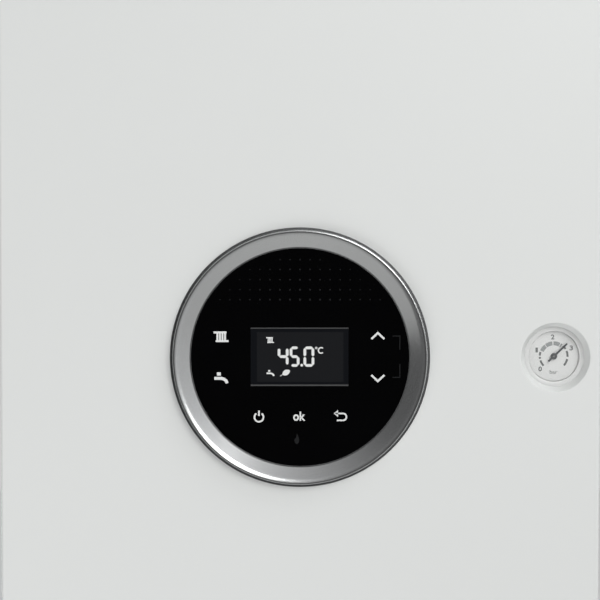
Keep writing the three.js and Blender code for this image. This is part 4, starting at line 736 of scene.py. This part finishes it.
for name in ("side_panel_left", "side_panel_right", "top_plate"):
    softened(name, "root", white_paint)
zinc = surface("galvanised_steel", (0.5, 0.51, 0.51), 0.42, 1.0, mottle=0.22, mottle_size=9,
               grain_size=2.5, grain_depth=0.02, uneven=0.12)
softened("bottom_plate", "root", zinc)


# ---- Hanging: wall bracket and rear frame ----
# A hooked rail that is screwed to the wall, and the pressed steel back that hangs on it and carries
# everything else. Both are galvanised, with the spangle of hot-dip zinc.

softened("wall_bracket", "root", zinc)
softened("rear_frame", "root", zinc)


# ---- Control box: housing, lid and boards ----
# A black moulded tray on two hinge pins, closed from behind by a lid. It holds the mains board, the
# display's cup with its board and liquid-crystal module, and the pressure gauge.

black_plastic = surface("black_plastic", (0.022, 0.022, 0.024), 0.5, mottle=0.06, mottle_size=30,
                        grain_size=0.5, grain_depth=0.02, uneven=0.07)
for name in ("control_box", "control_box_lid", "display_housing"):
    softened(name, "control_box", black_plastic, 0.5)
board_green = surface("circuit_board", (0.02, 0.11, 0.05), 0.38, mottle=0.2, mottle_size=4,
                      grain_size=1.2, grain_depth=0.01, uneven=0.08)
for name in ("main_board", "display_board"):
    softened(name, "control_box", board_green, 0.2)
lcd_back = surface("lcd_module", (0.03, 0.032, 0.036), 0.35, mottle=0.08, mottle_size=10, grain_size=0.6,
                   grain_depth=0.004)
softened("lcd_module", "control_box", lcd_back, 0.3)
softened("cable_gland", "root", black_plastic, 0.4)


# ---- Heat cell: exchanger, burner and door ----
# A cast aluminium drum round a coil of stainless steel tube. A bolted door closes its front and
# carries the gas duct, the burner drum, its ceramic fibre disc and the ignition electrode.

cast = surface("cast_aluminium", (0.48, 0.485, 0.49), 0.5, 1.0, mottle=0.08, mottle_size=35,
               grain_size=0.9, grain_depth=0.05, uneven=0.1)
softened("heat_exchanger", "root", cast, 0.6)
softened("burner_door", "root", cast, 0.8)
stainless = surface("stainless_steel", (0.56, 0.555, 0.545), 0.28, 1.0, mottle=0.06, mottle_size=40,
                    grain_size=0.4, grain_depth=0.004, uneven=0.08, stretch=(1, 1, 0.15))
for name in ("exchanger_coil", "burner"):
    softened(name, "root", stainless, 0.3)
ceramic = surface("ceramic_fibre", (0.72, 0.69, 0.63), 0.9, mottle=0.1, mottle_size=5, grain_size=0.8,
                  grain_depth=0.15)
for name in ("burner_insulation", "ignition_electrode"):
    softened(name, "root", ceramic, 0.4)


# ---- Air and gas: fan, mixer and gas valve ----
# A cast volute with a moulded wheel and a black motor, fed by a grey plastic mixer. The gas valve is
# an aluminium die casting with its coils in front.

softened("fan_housing", "root", cast, 0.8)
grey_plastic = surface("grey_plastic", (0.16, 0.165, 0.17), 0.52, mottle=0.05, mottle_size=25,
                       grain_size=0.6, grain_depth=0.015, uneven=0.07)
softened("fan_wheel", "fan_wheel", grey_plastic, 0.2)
softened("fan_motor", "root", black_plastic, 0.6)
softened("gas_air_mixer", "root", grey_plastic, 0.5)
softened("gas_valve", "root", cast, 0.6)


# ---- Flue: adapter, inner pipe and condensate ----
# A moulded white adapter stands on the top plate and takes a concentric flue. A stainless pipe leads
# down to the heat cell, and a grey hose and trap carry its condensate away.

softened("flue_adapter", "root", white_plastic, 0.6)
softened("flue_pipe", "root", stainless, 0.3)
flue_low, flue_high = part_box("flue_adapter")
foot_thickness, screw_circle, head_radius = 3, 58, 3.6
foot_top = high + foot_thickness
flue_x, flue_y = 0, (flue_low.y + flue_high.y) / 2 / mm
for number in range(4):
    screw_bm = bmesh.new()
    turn = math.radians(45 + 90 * number)
    spot = Vector((flue_x + screw_circle * math.cos(turn), flue_y + screw_circle * math.sin(turn),
                   foot_top))
    head = bmesh.ops.create_uvsphere(screw_bm, u_segments=24, v_segments=10,
                                     radius=head_radius)["verts"]
    below = [v for v in head if v.co.z < -0.01]
    bmesh.ops.delete(screw_bm, geom=below, context="VERTS")
    bmesh.ops.scale(screw_bm, vec=(1, 1, 0.6), verts=screw_bm.verts)
    rim = [e for e in screw_bm.edges if e.is_boundary]
    bmesh.ops.edgeloop_fill(screw_bm, edges=rim)
    bmesh.ops.translate(screw_bm, vec=spot, verts=screw_bm.verts)
    finished(screw_bm, f"flue_screw_{number + 1}", "root", screw_steel)
for name in ("condensate_hose", "condensate_trap"):
    softened(name, "root", grey_plastic, 0.5)


# ---- Expansion vessel ----
# Two pressed steel bowls crimped together at the rim and enamelled red, standing flat against the
# rear frame, with the water pipe at its lower right.

enamel = surface("red_enamel", (0.42, 0.022, 0.018), 0.32, mottle=0.06, mottle_size=50, grain_size=1.4,
                 grain_depth=0.012, uneven=0.06)
softened("expansion_vessel", "root", enamel, 0.8)


# ---- Water side: pump, manifolds, valves and plate exchanger ----
# Two brass manifolds end in the flow and return tails. They carry the pump, the diverter and the
# brazed plate exchanger, and the air vent, the safety valve and the filling tap stand round them.

softened("pump_body", "root", cast, 0.8)
softened("pump_motor", "root", black_plastic, 0.8)
softened("pump_rotor", "pump_rotor", stainless, 0.2)
for name in ("return_manifold", "flow_manifold", "safety_valve", "air_vent"):
    softened(name, "root", brass, 0.5)
softened("diverter_stem", "diverter_stem", stainless, 0.2)
softened("diverter_motor", "root", black_plastic, 0.6)
softened("plate_exchanger", "root", stainless, 0.5)
softened("flow_sensor", "root", black_plastic, 0.4)
red_plastic = surface("red_plastic", (0.5, 0.03, 0.02), 0.42, mottle=0.04, mottle_size=8,
                      grain_size=0.5, grain_depth=0.01)
softened("safety_knob", "safety_knob", red_plastic, 0.4)
blue_plastic = surface("blue_plastic", (0.02, 0.09, 0.36), 0.42, mottle=0.04, mottle_size=8,
                       grain_size=0.5, grain_depth=0.01)
softened("filling_knob", "filling_knob", blue_plastic, 0.4)


# ---- Pipes ----
# Drawn copper tube, bent cold, with the nuts at its tails in the same copper. It has the soft, uneven
# brown of copper that has been handled and heated.

for name in ("gauge_capillary", "gas_pipe", "hot_water_pipe", "cold_water_pipe", "flow_pipe",
             "return_pipe", "vessel_pipe"):
    softened(name, "root", copper, 0.2)
